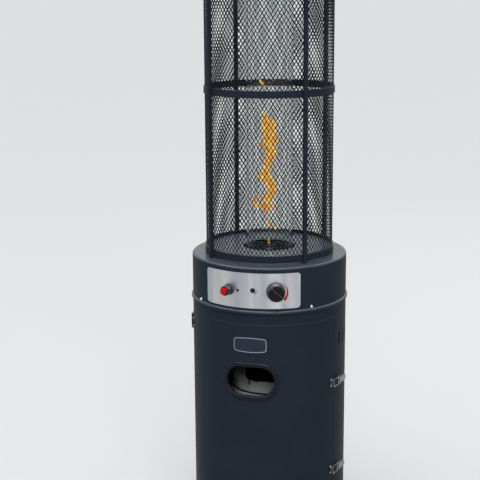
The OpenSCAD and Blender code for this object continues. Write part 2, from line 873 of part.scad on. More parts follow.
module glass_seat() {
    color("Gray") difference() {
        union() {
            tube(cup_r - 2, seat_wall_r + seat_t, seat_floor_z, seat_floor_z + seat_t);
            tube(seat_wall_r, seat_wall_r + seat_t, seat_floor_z, table_z - table_t);
            tube(seat_wall_r, table_screw_r + 10, table_z - table_t - seat_t, table_z - table_t);
        }
        table_screw_spots() translate([0, 0, -12]) cylinder(r = 2.1, h = 14);
    }
}

module glass_tube() {
    color("LightBlue", 0.4) tube(glass_r - glass_t, glass_r, glass_z0, glass_z1);
}

module burner_cup() {
    color("Gray") difference() {
        union() {
            tube(cup_r - 2, cup_r, cup_z0, seat_floor_z);
            tube(mix_r + 1, cup_r, cup_z0, cup_z0 + 2);
        }
        translate([-22, -cup_r - 5, cup_z0 + 6]) cube([44, 20, 22]);
        for (a = [60 : 30 : 300]) rotate([0, 0, a]) translate([0, -cup_r + 6, cup_z0 + 16])
            rotate([90, 0, 0]) cylinder(r = 5, h = 12);
    }
}

module burner_head() {
    color("SlateGray") difference() {
        union() {
            tube(mix_r - 3, mix_r, mix_z0, head_z0 + 2);
            tube(mix_r - 1, mix_r + 6, cup_z0 + 2, cup_z0 + 6);
            tube(mix_r - 3, head_r, head_z0, head_z0 + 2.5);
            tube(head_r - 2.5, head_r, head_z0, head_z0 + head_h);
            translate([0, 0, head_z0 + head_h - 2.5]) cylinder(r = head_r, h = 2.5);
        }
        for (ring = [1 : 3], i = [0 : ring * 8 - 1])
            rotate([0, 0, i * 360 / (ring * 8)]) translate([head_r * ring * 0.27, 0, head_z0 + head_h - 5])
                cylinder(r = 1.6, h = 10);
    }
}

module gas_jet() {
    color("Goldenrod") difference() {
        rotate([0, 0, knob_angle]) translate([0, 0, mix_z0 - jet_h]) cylinder(r = jet_r, h = jet_h, $fn = 6);
        translate([0, 0, mix_z0 - jet_h / 2]) cylinder(r = 1.2, h = jet_h);
    }
}

module pilot_assembly() {
    color("Gainsboro") union() {
        translate([-pilot_w / 2, -pilot_y, head_z0 + 8]) cube([pilot_w, 8, 2]);
        translate([0, -pilot_r, probe_z]) cylinder(r = 3, h = 22);
        translate([-pilot_pitch, -pilot_r, lead_z]) cylinder(r = 1.6, h = spark_rod_h);
        translate([pilot_pitch, -pilot_r, lead_z]) cylinder(r = 2.2, h = pilot_tube_h);
    }
}

module gas_pipe() {
    start = polar(knob_angle, body_r + valve_back - outlet_len - seat_gap, control_z);
    finish = polar(knob_angle, jet_flat + seat_gap, mix_z0 - jet_h / 2);
    bend = inward(knob_angle, pipe_bend);
    color("Goldenrod") bent([start, start + bend, finish - bend, finish], 4);
}

module burner_leads() {
    step = [cos(knob_angle), sin(knob_angle), 0];
    rise = [0, 0, lead_rise];
    pilot_from = polar(knob_angle, body_r + valve_back - pilot_outlet - seat_gap, control_z + 12) + 10 * step;
    probe_from = polar(knob_angle, body_r + valve_back + 6, control_z - 10) - (valve_half + seat_gap) * step;
    spark_from = polar(igniter_angle, body_r - igniter_back - seat_gap, control_z);
    pilot_tip = [pilot_pitch, -pilot_r, lead_z - seat_gap];
    probe_tip = [0, -pilot_r, probe_z - seat_gap];
    spark_tip = [-pilot_pitch, -pilot_r, lead_z - seat_gap];
    color("Peru") {
        bent([pilot_from, pilot_from + inward(knob_angle, lead_bend), pilot_tip - rise, pilot_tip], 1.6, 18, 8);
        bent([probe_from, probe_from - lead_bend * step, probe_tip - rise, probe_tip], 1.6, 18, 8);
        bent([spark_from, spark_from + inward(igniter_angle, spark_bend), spark_tip - rise, spark_tip], 2, 18, 8);
    }
}

// Cage

module cage_ring(z) {
    tube(cage_r - ring_t, cage_r, z, z + ring_h);
}

module cage_base_ring() {
    color("DarkSlateGray") cage_ring(ring_levels[0]);
}

module cage_middle_ring() {
    color("DarkSlateGray") cage_ring(ring_levels[1]);
}

module cage_top_ring() {
    color("DarkSlateGray") cage_ring(ring_levels[2]);
}

module cage_posts() {
    color("DarkSlateGray") for (a = post_angles) rotate([0, 0, a]) translate([0, -post_r, drum_top])
        linear_extrude(post_top - drum_top) difference() {
            rounded(post_w, post_w, 1.5);
            rounded(post_w - 2.4, post_w - 2.4, 0.6);
        }
}

// One diamond opening, cut outwards through the mesh
module mesh_opening() {
    translate([0, -mesh_r + 5, 0]) rotate([90, 0, 0]) linear_extrude(10) scale(mesh_open)
        polygon([[-cell_w / 2, 0], [0, -cell_h / 2], [cell_w / 2, 0], [0, cell_h / 2]]);
}

// A mesh from z0 to z1, open between the cage ring at ring_z and the next one
module cage_mesh(z0, z1, ring_z) {
    difference() {
        tube(mesh_r - mesh_t, mesh_r, z0, z1);
        for (row = [1 : mesh_rows], i = [1 : mesh_columns])
            translate([0, 0, ring_z + ring_h + mesh_edge + row * cell_h / 2])
                rotate([0, 0, (i + row % 2 / 2) * 360 / mesh_columns]) mesh_opening();
    }
}

module lower_mesh() {
    color("Gray") cage_mesh(ring_levels[0] + 1, ring_levels[1] + ring_h / 2, ring_levels[0]);
}

module upper_mesh() {
    color("Gray") cage_mesh(ring_levels[1] + ring_h / 2, top_ring_z - 1, ring_levels[1]);
}

module cage_screws() {
    color("Gainsboro") {
        for (a = cage_screw_angles, z = ring_levels)
            on_wall(a, z + ring_h / 2, cage_r) dome(2.6, 1.5);
        for (a = post_angles) rotate([0, 0, a]) translate([0, -post_r, cap_z1])
            dome(5.5, 3.2);
    }
}

module glass_spider() {
    color("Gray") union() {
        tube(glass_r + 0.6, glass_r + 12, top_ring_z, top_ring_z + spider_t);
        tube(glass_r + 0.6, glass_r + 2.4, top_ring_z - 10, top_ring_z + 1);
        for (a = post_angles) rotate([0, 0, a])
            translate([-8, -cage_r + 0.4, top_ring_z]) cube([16, cage_r - glass_r - 5, spider_t]);
    }
}

module cap_section(inset, down) {
    translate([0, -down]) square([cap_r - cap_edge, cap_h - inset + down]);
    translate([0, -down]) square([cap_r - inset, cap_h - cap_edge + down]);
    translate([cap_r - cap_edge, cap_h - cap_edge]) circle(cap_edge - inset);
}

module top_cap() {
    color("DarkSlateGray") translate([0, 0, cap_z0]) rotate_extrude() difference() {
        cap_section(0, 0);
        cap_section(cap_t, 5);
    }
}

// Gas bottle

module bottle_section(inset) {
    intersection() {
        union() {
            translate([0, 60]) square([bottle_r - inset, bottle_body_h - 60]);
            translate([0, 20 + inset]) square([bottle_r - 40, 60]);
            translate([bottle_r - 40, 60]) circle(40 - inset);
            translate([0, bottle_body_h]) circle(bottle_r - inset);
        }
        square([bottle_r + 5, bottle_body_h + bottle_r + 5]);
    }
}

module gas_bottle() {
    color("LightGray") difference() {
        union() {
            translate([0, 0, floor_z]) rotate_extrude() difference() {
                bottle_section(0);
                bottle_section(bottle_wall);
            }
            tube(112, 115, floor_z, floor_z + 24);
            tube(5, 20, dome_top - 3, boss_top);
        }
        translate([0, 0, dome_top - 20]) cylinder(r = 12, h = 60);
    }
}

module bottle_collar() {
    color("LightGray") difference() {
        tube(collar_r - collar_t, collar_r, collar_z - 15, collar_top);
        translate([0, 0, dome_z]) sphere(bottle_r);
        for (a = [hold_angle, hold_angle + 180])
            rotate([0, 0, a]) translate([0, -collar_r - 20, hold_z]) rotate([-90, 0, 0])
                linear_extrude(60) rounded(hold_w, hold_h, hold_r);
    }
}

module bottle_valve() {
    color("Goldenrod") union() {
        translate([0, 0, dome_top - 12]) cylinder(r = 11.9, h = 30);
        translate([0, 0, boss_top]) cylinder(r = 16, h = 34);
        translate([0, 0, boss_top + 33]) cylinder(r = 6, h = 22);
        rotate([0, 0, reg_angle]) translate([0, -10, spout_z]) rotate([90, 0, 0])
            cylinder(r = 8, h = spout_end - 10);
    }
}

module bottle_handwheel() {
    color("Black") difference() {
        union() {
            tube(18, 25, spindle_z, spindle_z + 13);
            tube(6 + run, 11, spindle_z, spindle_z + 13);
            for (a = [0 : 60 : 300]) rotate([0, 0, a]) translate([9, -3, spindle_z + 3])
                cube([12, 6, 7]);
        }
        for (a = [0 : 60 : 300]) rotate([0, 0, a + 30]) translate([26.5, 0, spindle_z - 1])
            cylinder(r = 3.5, h = 20);
    }
}

module regulator() {
    color("Gainsboro") rotate([0, 0, reg_angle]) union() {
        translate([0, -spout_end - seat_gap, reg_z]) rotate([90, 0, 0]) {
            cylinder(r = 14, h = 10, $fn = 6);
            cylinder(r = 9, h = reg_r - spout_end);
        }
        translate([0, -reg_r, reg_z - reg_h / 2]) cylinder(r = reg_body_r, h = reg_h - 6);
        translate([0, -reg_r, reg_z - reg_h / 2]) cylinder(r = reg_body_r - 7, h = reg_h);
        translate([0, -reg_r, reg_z]) cylinder(r = 5, h = spigot_z - reg_z);
    }
}

module gas_hose() {
    start = polar(reg_angle, reg_r, spigot_z + seat_gap);
    finish = polar(knob_angle, body_r + inlet_in, control_z - inlet_drop - seat_gap);
    reach = (finish[2] - start[2]) * 0.5;
    color("Orange") bent([start, start + [0, 0, reach], finish - [0, 0, reach], finish], hose_r, 18, 12);
}

base_pan();
rubber_feet();
wheel_brackets();
wheel_bolts();
left_wheel_hub();
right_wheel_hub();
left_wheel_tyre();
right_wheel_tyre();
housing_shell();
door_jambs();
joint_ring();
heat_shield();
front_door();
opening_rim();
door_plate();
hinge_frame_leaves();
hinge_door_leaves();
hinge_pins();
latch_bases();
upper_latch_lever();
lower_latch_lever();
upper_latch_loop();
lower_latch_loop();
latch_keepers();
control_drum();
control_panel();
drum_screws();
igniter_body();
igniter_nut();
igniter_button();
sight_lens();
gas_valve();
stem_washer();
valve_stem();
knob_base_ring();
control_knob();
burner_table();
glass_seat();
glass_tube();
burner_cup();
burner_head();
gas_jet();
pilot_assembly();
gas_pipe();
burner_leads();
cage_base_ring();
cage_middle_ring();
cage_top_ring();
cage_posts();
lower_mesh();
upper_mesh();
cage_screws();
glass_spider();
top_cap();
gas_bottle();
bottle_collar();
bottle_valve();
bottle_handwheel();
regulator();
gas_hose();
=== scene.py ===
import json
import math
import bmesh
import bpy
from mathutils import Matrix, Vector


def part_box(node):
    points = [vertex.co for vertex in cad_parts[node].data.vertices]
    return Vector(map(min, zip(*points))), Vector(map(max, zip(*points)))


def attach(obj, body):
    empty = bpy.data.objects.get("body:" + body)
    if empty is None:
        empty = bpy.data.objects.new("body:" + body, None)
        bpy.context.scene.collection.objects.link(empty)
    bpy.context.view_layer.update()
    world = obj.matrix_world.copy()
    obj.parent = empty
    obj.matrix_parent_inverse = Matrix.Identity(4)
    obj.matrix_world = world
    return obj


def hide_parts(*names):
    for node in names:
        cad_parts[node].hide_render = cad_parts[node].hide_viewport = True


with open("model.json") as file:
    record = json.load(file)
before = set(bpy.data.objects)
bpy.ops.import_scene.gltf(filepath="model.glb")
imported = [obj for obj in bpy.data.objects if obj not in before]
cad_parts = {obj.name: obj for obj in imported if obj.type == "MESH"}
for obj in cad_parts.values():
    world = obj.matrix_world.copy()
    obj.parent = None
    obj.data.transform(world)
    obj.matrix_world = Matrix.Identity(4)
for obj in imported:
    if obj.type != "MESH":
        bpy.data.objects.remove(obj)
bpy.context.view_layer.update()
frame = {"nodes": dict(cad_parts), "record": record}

cad = frame["nodes"]
mm = 0.001
scene = bpy.context.scene
scene.view_settings.view_transform = "Standard"
print("frame loaded,", len(cad), "nodes")

# Round body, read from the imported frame
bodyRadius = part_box("housing_shell")[1][0]


def wallPoint(turn, height, radius):
    return Vector((radius * math.sin(turn), -radius * math.cos(turn), height))


def addObject(name, data):
    obj = bpy.data.objects.new(name, data)
    scene.collection.objects.link(obj)
    return obj


# Camera
shot = {"turn": 14.1, "distance": 3.1407, "height": 1.5723, "pitch": 0.2238, "yaw": 0.0255,
        "roll": -0.0069, "lens": 88.35, "sensor": 36, "farthest": 200}


def placeCamera(s):
    data = bpy.data.cameras.new("shotCamera")
    data.lens = s["lens"]
    data.sensor_width = s["sensor"]
    data.clip_end = s["farthest"]
    camera = addObject("shotCamera", data)
    flat = math.cos(s["pitch"])
    forward = Vector((-flat * math.sin(s["yaw"]), flat * math.cos(s["yaw"]), -math.sin(s["pitch"])))
    level = Vector((math.cos(s["yaw"]), math.sin(s["yaw"]), 0))
    rise = level.cross(forward)
    right = (level + s["roll"] * rise).normalized()
    up = (rise - s["roll"] * level).normalized()
    axes = Matrix((right, up, -forward)).transposed().to_4x4()
    spot = Matrix.Translation((0, -s["distance"], s["height"]))
    camera.matrix_world = Matrix.Rotation(math.radians(s["turn"]), 4, "Z") @ spot @ axes
    scene.camera = camera


placeCamera(shot)
print("camera placed")


# Node helpers, where a value is either a plain value or the socket that gives it
def feed(socket, value):
    if isinstance(value, bpy.types.NodeSocket):
        socket.id_data.links.new(value, socket)
    else:
        socket.default_value = value


def addNode(tree, kind, values=None, **props):
    node = tree.nodes.new(kind)
    for key, value in props.items():
        setattr(node, key, value)
    for key, value in (values or {}).items():
        feed(node.inputs[key], value)
    return node


def nodeFor(kind, values, **props):
    sockets = [value for value in values.values() if isinstance(value, bpy.types.NodeSocket)]
    return addNode(sockets[0].id_data, kind, values, **props)


def maths(operation, first, second=None, clamp=False):
    values = {0: first} if second is None else {0: first, 1: second}
    return nodeFor("ShaderNodeMath", values, operation=operation, use_clamp=clamp).outputs[0]


def plus(first, second, clamp=False):
    return maths("ADD", first, second, clamp)


def minus(first, second, clamp=False):
    return maths("SUBTRACT", first, second, clamp)


def times(first, second, clamp=False):
    return maths("MULTIPLY", first, second, clamp)


def vectorMaths(operation, *values):
    return nodeFor("ShaderNodeVectorMath", dict(enumerate(values)), operation=operation).outputs


def stretched(position, factors):
    return vectorMaths("MULTIPLY", position, factors)[0]


def split(vector):
    return nodeFor("ShaderNodeSeparateXYZ", {0: vector}).outputs


def combine(**axes):
    return nodeFor("ShaderNodeCombineXYZ", axes).outputs[0]


def noise(position, scale, detail=3.0, rough=0.55):
    values = {"Vector": position, "Scale": scale, "Detail": detail, "Roughness": rough}
    return nodeFor("ShaderNodeTexNoise", values).outputs["Fac"]


def ramp(value, low, high, floor=0.0, top=1.0):
    values = {"Value": value, "From Min": low, "From Max": high, "To Min": floor, "To Max": top}
    return nodeFor("ShaderNodeMapRange", values).outputs["Result"]


def varied(mask, middle, below, above):
    return ramp(mask, 0.0, 1.0, middle - below, middle + above)


def shaderGroup(name, values, outputs):
    tree = bpy.data.node_groups.new(name, "ShaderNodeTree")
    for label, value in {"Position": None, **values}.items():
        kind = "NodeSocketVector" if value is None else "NodeSocketFloat"
        socket = tree.interface.new_socket(label, in_out="INPUT", socket_type=kind)
        if value is not None:
            socket.default_value = value
    for label in outputs:
        tree.interface.new_socket(label, in_out="OUTPUT", socket_type="NodeSocketFloat")
    return tree, addNode(tree, "NodeGroupInput").outputs, addNode(tree, "NodeGroupOutput").inputs


# Shared surface effects
def makeCoatGrain():
    tree, given, out = shaderGroup(
        "coatGrain", {"Grain Scale": 900.0, "Cloud Scale": 9.0}, ["Grain", "Cloud"])
    feed(out["Grain"], noise(given["Position"], given["Grain Scale"], detail=2.0))
    broad = noise(given["Position"], given["Cloud Scale"], detail=5.0)
    feed(out["Cloud"], ramp(broad, 0.3, 0.7))
    return tree


def makeSettledDust():
    tree, given, out = shaderGroup(
        "settledDust", {"Normal": None, "Amount": 0.5}, ["Dust", "Streak", "Upward"])
    rise = split(given["Normal"])["Z"]
    facing = ramp(rise, 0.08, 0.8)
    feed(out["Upward"], facing)
    patches = ramp(noise(given["Position"], scale=26.0, detail=6.0, rough=0.65), 0.32, 0.72)
    feed(out["Dust"], times(times(facing, patches), given["Amount"]))
    along = stretched(given["Position"], (60.0, 60.0, 2.4))
    runs = ramp(noise(along, 1.0, detail=4.0, rough=0.6), 0.52, 0.78)
    upright = minus(1.0, maths("ABSOLUTE", rise), clamp=True)
    feed(out["Streak"], times(times(runs, upright), given["Amount"]))
    return tree


def makeBrushLines():
    tree, given, out = shaderGroup("brushLines", {"Fineness": 2600.0}, ["Lines", "Bands"])
    spot = split(given["Position"])
    turn = maths("ARCTAN2", spot["X"], times(spot["Y"], -1.0))
    fine = combine(X=times(turn, 7.0), Y=times(spot["Z"], given["Fineness"]))
    feed(out["Lines"], noise(fine, 1.0, detail=3.0, rough=0.7))
    broad = combine(X=times(turn, 6.5), Y=times(spot["Z"], 2.0))
    feed(out["Bands"], ramp(noise(broad, 1.0, detail=2.0), 0.3, 0.7))
    return tree


def makeRubMarks():
    tree, given, out = shaderGroup("rubMarks", {"Scale": 40.0}, ["Marks"])
    marks = []
    for squeeze in ((1.0, 0.06, 0.5), (0.08, 0.7, 1.0)):
        along = stretched(given["Position"], squeeze)
        marks.append(ramp(noise(along, given["Scale"], detail=5.0, rough=0.7), 0.62, 0.74))
    feed(out["Marks"], maths("MAXIMUM", *marks))
    return tree


def makeRustBloom():
    tree, given, out = shaderGroup("rustBloom", {"Level": 0.45, "Spread": 0.006}, ["Rust"])
    rise = maths("ABSOLUTE", minus(split(given["Position"])["Z"], given["Level"]))
    near = minus(1.0, maths("DIVIDE", rise, given["Spread"]), clamp=True)
    ragged = noise(given["Position"], scale=90.0, detail=7.0, rough=0.7)
    line = ramp(plus(near, ragged), 0.75, 1.15)
    spots = ramp(noise(given["Position"], scale=34.0, detail=8.0, rough=0.72), 0.61, 0.71)
    feed(out["Rust"], maths("MAXIMUM", line, spots))
    return tree


coatGrain = makeCoatGrain()
settledDust = makeSettledDust()
brushLines = makeBrushLines()
rubMarks = makeRubMarks()
rustBloom = makeRustBloom()


def useGroup(group, position, **values):
    inputs = {key.replace("_", " "): value for key, value in values.items()}
    return nodeFor("ShaderNodeGroup", {"Position": position, **inputs}, node_tree=group).outputs


def skyFacing(position, amount=0.0):
    normal = addNode(position.id_data, "ShaderNodeNewGeometry").outputs["Normal"]
    return useGroup(settledDust, position, Normal=normal, Amount=amount)


def startFinish(name, **constants):
    material = bpy.data.materials.new(name)
    material.use_nodes = True
    tree = material.node_tree
    shader = tree.nodes["Principled BSDF"].inputs
    for key, value in constants.items():
        shader[key.replace("_", " ")].default_value = value
    position = addNode(tree, "ShaderNodeTexCoord").outputs["Object"]
    return material, shader, position


def mixColour(mask, first, second):
    node = nodeFor("ShaderNodeMix", {"Factor": mask}, data_type="RGBA")
    colours = [socket for socket in node.inputs if socket.type == "RGBA"]
    for socket, value in zip(colours, (first, second)):
        feed(socket, (*value, 1.0) if isinstance(value, (tuple, list)) else value)
    return [socket for socket in node.outputs if socket.type == "RGBA"][0]


def paint(shader, look, *layers):
    colour = look["deep"]
    for mask, name in layers:
        colour = mixColour(mask, colour, look[name])
    feed(shader["Base Color"], colour)


def bumpFrom(shader, height, strength, depth):
    values = {"Height": height, "Strength": strength, "Distance": depth}
    feed(shader["Normal"], nodeFor("ShaderNodeBump", values).outputs["Normal"])


# Finishes
def coatedSteel(name, look):
    material, shader, position = startFinish(
        name, Specular_IOR_Level=look["gloss"], Coat_Roughness=0.26)
    grain = useGroup(coatGrain, position, Grain_Scale=look["grain"], Cloud_Scale=look["cloud"])
    dust = skyFacing(position, look["dust"])
    worn = useGroup(rubMarks, position, Scale=look["rubScale"])
    # Dust patches plus painted sky light: every up-facing face is lightened towards the soil tone by the
    # pale share, a painted sky reflection on tops such as the drum top and the bead
    dustAndPaintedTopLight = plus(dust["Dust"], times(dust["Upward"], look["pale"]), clamp=True)
    paint(shader, look, (grain["Cloud"], "light"), (times(dust["Streak"], look["streak"]), "soil"),
          (dustAndPaintedTopLight, "soil"), (times(worn["Marks"], look["rub"]), "bare"))
    base = varied(grain["Cloud"], look["rough"], below=0.05, above=0.06)
    feed(shader["Roughness"], plus(base, times(dust["Dust"], 0.3), clamp=True))
    feed(shader["Coat Weight"], times(dust["Upward"], look["sheen"], clamp=True))
    bumpFrom(shader, grain["Grain"], look["peel"], depth=0.0003)
    return material


def bareMetal(name, look):
    material, shader, position = startFinish(name, Metallic=1.0)
    lines = useGroup(brushLines, position, Fineness=look["fineness"])
    grain = useGroup(coatGrain, position, Grain_Scale=look["grain"], Cloud_Scale=look["cloud"])
    worn = useGroup(rubMarks, position, Scale=look["rubScale"])
    paint(shader, look, (lines["Bands"], "light"), (times(lines["Lines"], look["brush"]), "line"),
          (times(grain["Cloud"], look["stain"]), "soil"))
    base = ramp(lines["Lines"], 0.2, 0.8, look["rough"] - 0.08, look["rough"] + 0.1)
    feed(shader["Roughness"], plus(base, times(worn["Marks"], 0.12), clamp=True))
    bumpFrom(shader, lines["Lines"], look["bump"], depth=0.0001)
    return material


def mouldedPlastic(name, look):
    material, shader, position = startFinish(
        name, Specular_IOR_Level=look["gloss"], Coat_Roughness=0.16)
    grain = useGroup(coatGrain, position, Grain_Scale=look["grain"], Cloud_Scale=60.0)
    sky = skyFacing(position)
    worn = useGroup(rubMarks, position, Scale=120.0)
    paint(shader, look, (grain["Cloud"], "light"), (times(worn["Marks"], look["rub"]), "bare"))
    feed(shader["Roughness"], varied(grain["Cloud"], look["rough"], below=0.04, above=0.08))
    feed(shader["Coat Weight"], times(sky["Upward"], look["coat"], clamp=True))
    bumpFrom(shader, grain["Grain"], look["bump"], depth=0.0002)
    return material


def chromedSteel(name, look):
    material, shader, position = startFinish(name, Metallic=1.0)
    grain = useGroup(coatGrain, position, Grain_Scale=700.0, Cloud_Scale=look["cloud"])
    sky = skyFacing(position)
    # Up-facing faces take a pale blue colour, a painted highlight of the sky on the chrome
    paint(shader, look, (grain["Cloud"], "light"), (sky["Upward"], "paintedSkyHighlight"))
    feed(shader["Roughness"], varied(grain["Cloud"], look["rough"], below=0.05, above=0.08))
    bumpFrom(shader, grain["Grain"], look["bump"], depth=0.0001)
    return material


def rustDrips(position, look):
    ragged = noise(position, scale=210.0, detail=4.0, rough=0.7)
    drips = None
    for turn, drop, width, height in look["drips"]:
        spot = wallPoint(math.radians(turn), look["holdFoot"] - drop * mm, look["collarRadius"])
        away = vectorMaths("SUBTRACT", position, spot)[0]
        size = (2 / (width * mm), 2 / (width * mm), 2 / (height * mm))
        reach = vectorMaths("LENGTH", stretched(away, size))["Value"]
        drip = ramp(plus(reach, ragged), 1.55, 1.15)
        drips = drip if drips is None else maths("MAXIMUM", drips, drip)
    return drips


def bottleCoat(name, look):
    material, shader, position = startFinish(name, Specular_IOR_Level=0.35)
    grain = useGroup(coatGrain, position, Grain_Scale=500.0, Cloud_Scale=16.0)
    rust = useGroup(rustBloom, position, Level=look["weldLevel"], Spread=look["weldSpread"])["Rust"]
    rusty = mixColour(grain["Grain"], look["rustDark"], look["rustLight"])
    streak = skyFacing(position, amount=0.45)["Streak"]
    spot = split(position)
    # Painted shade, partly grime: the collar darkens towards its top, where the door rim shades it, and
    # towards its left side
    rise = ramp(spot["Z"], look["grimeShadeFoot"], look["grimeShadeTop"])
    leftGrimeAndShade = ramp(spot["X"], look["grimeShadeNear"], look["grimeShadeFar"], top=0.8)
    patchy = ramp(grain["Cloud"], 0.0, 1.0, floor=0.8)
    grimeAndShadeMask = times(maths("MAXIMUM", rise, leftGrimeAndShade), patchy)
    # Inside the collar radius the paint turns near black: painted shade on the bottle top, with the collar's
    # bare inner face
    reach = vectorMaths("LENGTH", stretched(position, (1.0, 1.0, 0.0)))["Value"]
    shadedInside = maths("LESS_THAN", reach, look["insideShadeRadius"])
    paint(shader, dict(look, rusty=rusty), (grain["Cloud"], "light"), (streak, "soil"),
          (rustDrips(position, look), "drip"), (rust, "rusty"), (grimeAndShadeMask, "grimeAndShade"), (shadedInside, "bare"))
    feed(shader["Roughness"], ramp(rust, 0.0, 1.0, floor=0.5, top=0.9))
    bumpFrom(shader, plus(rust, grain["Grain"]), strength=0.25, depth=0.0005)
    return material


def clearGlass(name, look):
    material, shader, position = startFinish(
        name, Transmission_Weight=1.0, IOR=1.47, Specular_IOR_Level=0.5)
    cloud = useGroup(coatGrain, position, Grain_Scale=300.0, Cloud_Scale=12.0)["Cloud"]
    paint(shader, look, (cloud, "light"))
    feed(shader["Roughness"], ramp(cloud, 0.0, 1.0, top=0.05))
    return material


# The soil tone is bluish: it colours dust and streaks, and through pale it also lays painted sky light on
# up-facing faces
wallLook = {"deep": (0.0175, 0.0242, 0.0345), "light": (0.0228, 0.0308, 0.0435),
            "soil": (0.15, 0.175, 0.22), "bare": (0.045, 0.052, 0.062), "gloss": 0.04, "grain": 1100.0,
            "cloud": 7.0, "dust": 0.2, "streak": 0.03, "sheen": 1.0, "pale": 0.3, "rough": 0.5,
            "peel": 0.16, "rub": 0.07, "rubScale": 26.0}
coats = {
    "wallCoat": wallLook,
    "meshCoat": dict(wallLook, deep=(0.014, 0.018, 0.023), light=(0.022, 0.027, 0.034), rough=0.55),
    "tableCoat": dict(wallLook, deep=(0.20, 0.23, 0.29), light=(0.265, 0.30, 0.37), rough=0.4, gloss=0.5,
                      soil=(0.3, 0.32, 0.36), cloud=14.0),
    "innerSheet": dict(wallLook, deep=(0.09, 0.09, 0.092), light=(0.14, 0.14, 0.142), rough=0.46,
                       gloss=0.45),
}
panelLook = {"deep": (0.37, 0.40, 0.455), "light": (0.66, 0.645, 0.66), "line": (0.38, 0.39, 0.41),
             "soil": (0.3, 0.29, 0.28), "fineness": 2600.0, "grain": 600.0, "cloud": 20.0, "brush": 0.55,
             "stain": 0.08, "rough": 0.34, "bump": 0.12, "rubScale": 60.0}
zincLook = dict(panelLook, deep=(0.52, 0.515, 0.5), light=(0.64, 0.64, 0.63), rough=0.3, brush=0.25,
                stain=0.28, fineness=1500.0, cloud=120.0)
metals = {
    "panelSteel": panelLook,
    "zincPlate": zincLook,
    "screwSteel": dict(zincLook, deep=(0.66, 0.66, 0.66), light=(0.78, 0.78, 0.78), rough=0.22, stain=0.12),
    "turnedBrass": dict(zincLook, deep=(0.50, 0.34, 0.12), light=(0.62, 0.44, 0.18), soil=(0.2, 0.13, 0.06),
                        line=(0.4, 0.28, 0.12), rough=0.32),
    "burnerSteel": dict(zincLook, deep=(0.035, 0.033, 0.031), light=(0.07, 0.066, 0.06), rough=0.52,
                        soil=(0.03, 0.026, 0.024), line=(0.06, 0.055, 0.05), stain=0.5, cloud=40.0),
    "castAlloy": dict(zincLook, deep=(0.40, 0.40, 0.41), light=(0.52, 0.52, 0.53), rough=0.48, bump=0.2),
    "plateEdge": dict(zincLook, deep=(0.25, 0.27, 0.31), light=(0.33, 0.355, 0.40), rough=0.4, stain=0.1),
}
chromes = {
    # The pale blue colour laid on up-facing latch faces is a painted sky highlight
    "latchChrome": {"deep": (0.15, 0.148, 0.15), "light": (0.27, 0.262, 0.26), "paintedSkyHighlight": (0.82, 0.84, 0.90),
                    "cloud": 90.0, "rough": 0.2, "bump": 0.08},
}
knobLook = {"deep": (0.0045, 0.0045, 0.005), "light": (0.0075, 0.0075, 0.008), "bare": (0.03, 0.03, 0.03),
            "gloss": 0.15, "coat": 1.0, "grain": 1600.0, "rough": 0.28, "bump": 0.05, "rub": 0.12}
redLook = dict(knobLook, deep=(0.62, 0.003, 0.007), light=(0.76, 0.005, 0.010), bare=(0.5, 0.03, 0.03),
               gloss=0.12, coat=0.3, rub=0.1)
wheelLook = dict(knobLook, deep=(0.022, 0.022, 0.024), light=(0.034, 0.034, 0.036), coat=0.0, rough=0.55,
                 bump=0.3)
plastics = {
    "knobBlack": knobLook,
    "collarGrey": dict(knobLook, deep=(0.012, 0.0135, 0.017), light=(0.02, 0.022, 0.027), rough=0.2,
                       gloss=0.45),
    "rimBlack": dict(knobLook, deep=(0.0045, 0.0078, 0.0135), light=(0.0065, 0.0106, 0.0178), rough=0.34,
                     coat=0.6, gloss=0.14),
    "ringGrey": dict(knobLook, deep=(0.07, 0.072, 0.075), light=(0.10, 0.102, 0.105), rough=0.36),
    "buttonRed": redLook,
    "lensRed": dict(redLook, deep=(0.06, 0.001, 0.0015), light=(0.10, 0.0015, 0.002), coat=0.15,
                    rough=0.18),
    "markRed": dict(redLook, deep=(0.50, 0.004, 0.006), light=(0.56, 0.006, 0.008), coat=0.0, rough=0.45),
    "markBlack": dict(knobLook, deep=(0.012, 0.012, 0.013), light=(0.02, 0.02, 0.021), coat=0.0, rough=0.5),
    "plateFace": dict(knobLook, deep=(0.0125, 0.0195, 0.037), light=(0.0165, 0.0255, 0.047), coat=0.05,
                      rough=0.4, gloss=0.25),
    "wheelGrey": wheelLook,
    "tyreRubber": dict(wheelLook, deep=(0.009, 0.009, 0.009), light=(0.016, 0.016, 0.016), rough=0.78,
                       gloss=0.3),
    "hoseRubber": dict(wheelLook, deep=(0.36, 0.085, 0.012), light=(0.46, 0.12, 0.02), bare=(0.5, 0.3, 0.2),
                       rough=0.6, gloss=0.35),
}
# Rust runs are given as turn in degrees, drop below the hand-hold, width and height in mm
collarLow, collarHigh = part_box("bottle_collar")
bottles = {
    # The dark brown mix towards the collar's top and left side is painted shade, partly grime
    "bottlePaint": {
        "deep": (0.46, 0.46, 0.44), "light": (0.62, 0.62, 0.595), "bare": (0.007, 0.0065, 0.006),
        "soil": (0.22, 0.2, 0.17), "grimeAndShade": (0.022, 0.017, 0.012), "grimeShadeFoot": 0.452, "grimeShadeTop": 0.505,
        "grimeShadeNear": -0.045, "grimeShadeFar": -0.1, "rustDark": (0.010, 0.006, 0.004),
        "rustLight": (0.07, 0.03, 0.011), "drip": (0.15, 0.075, 0.02),
        "drips": [(-18, 7, 9, 18), (-46, 14, 9, 16), (-6, 1, 22, 5), (16, 0, 26, 5), (-54, 34, 22, 12)],
        "holdFoot": (collarLow[2] + collarHigh[2]) / 2 - 35 * mm, "collarRadius": collarHigh[0],
        "weldLevel": collarLow[2] + 2 * mm, "weldSpread": 4.5 * mm,
        # Inside this radius the bottle is painted near black, a painted shade inside the collar
        "insideShadeRadius": collarHigh[0] - 1.2 * mm},
}
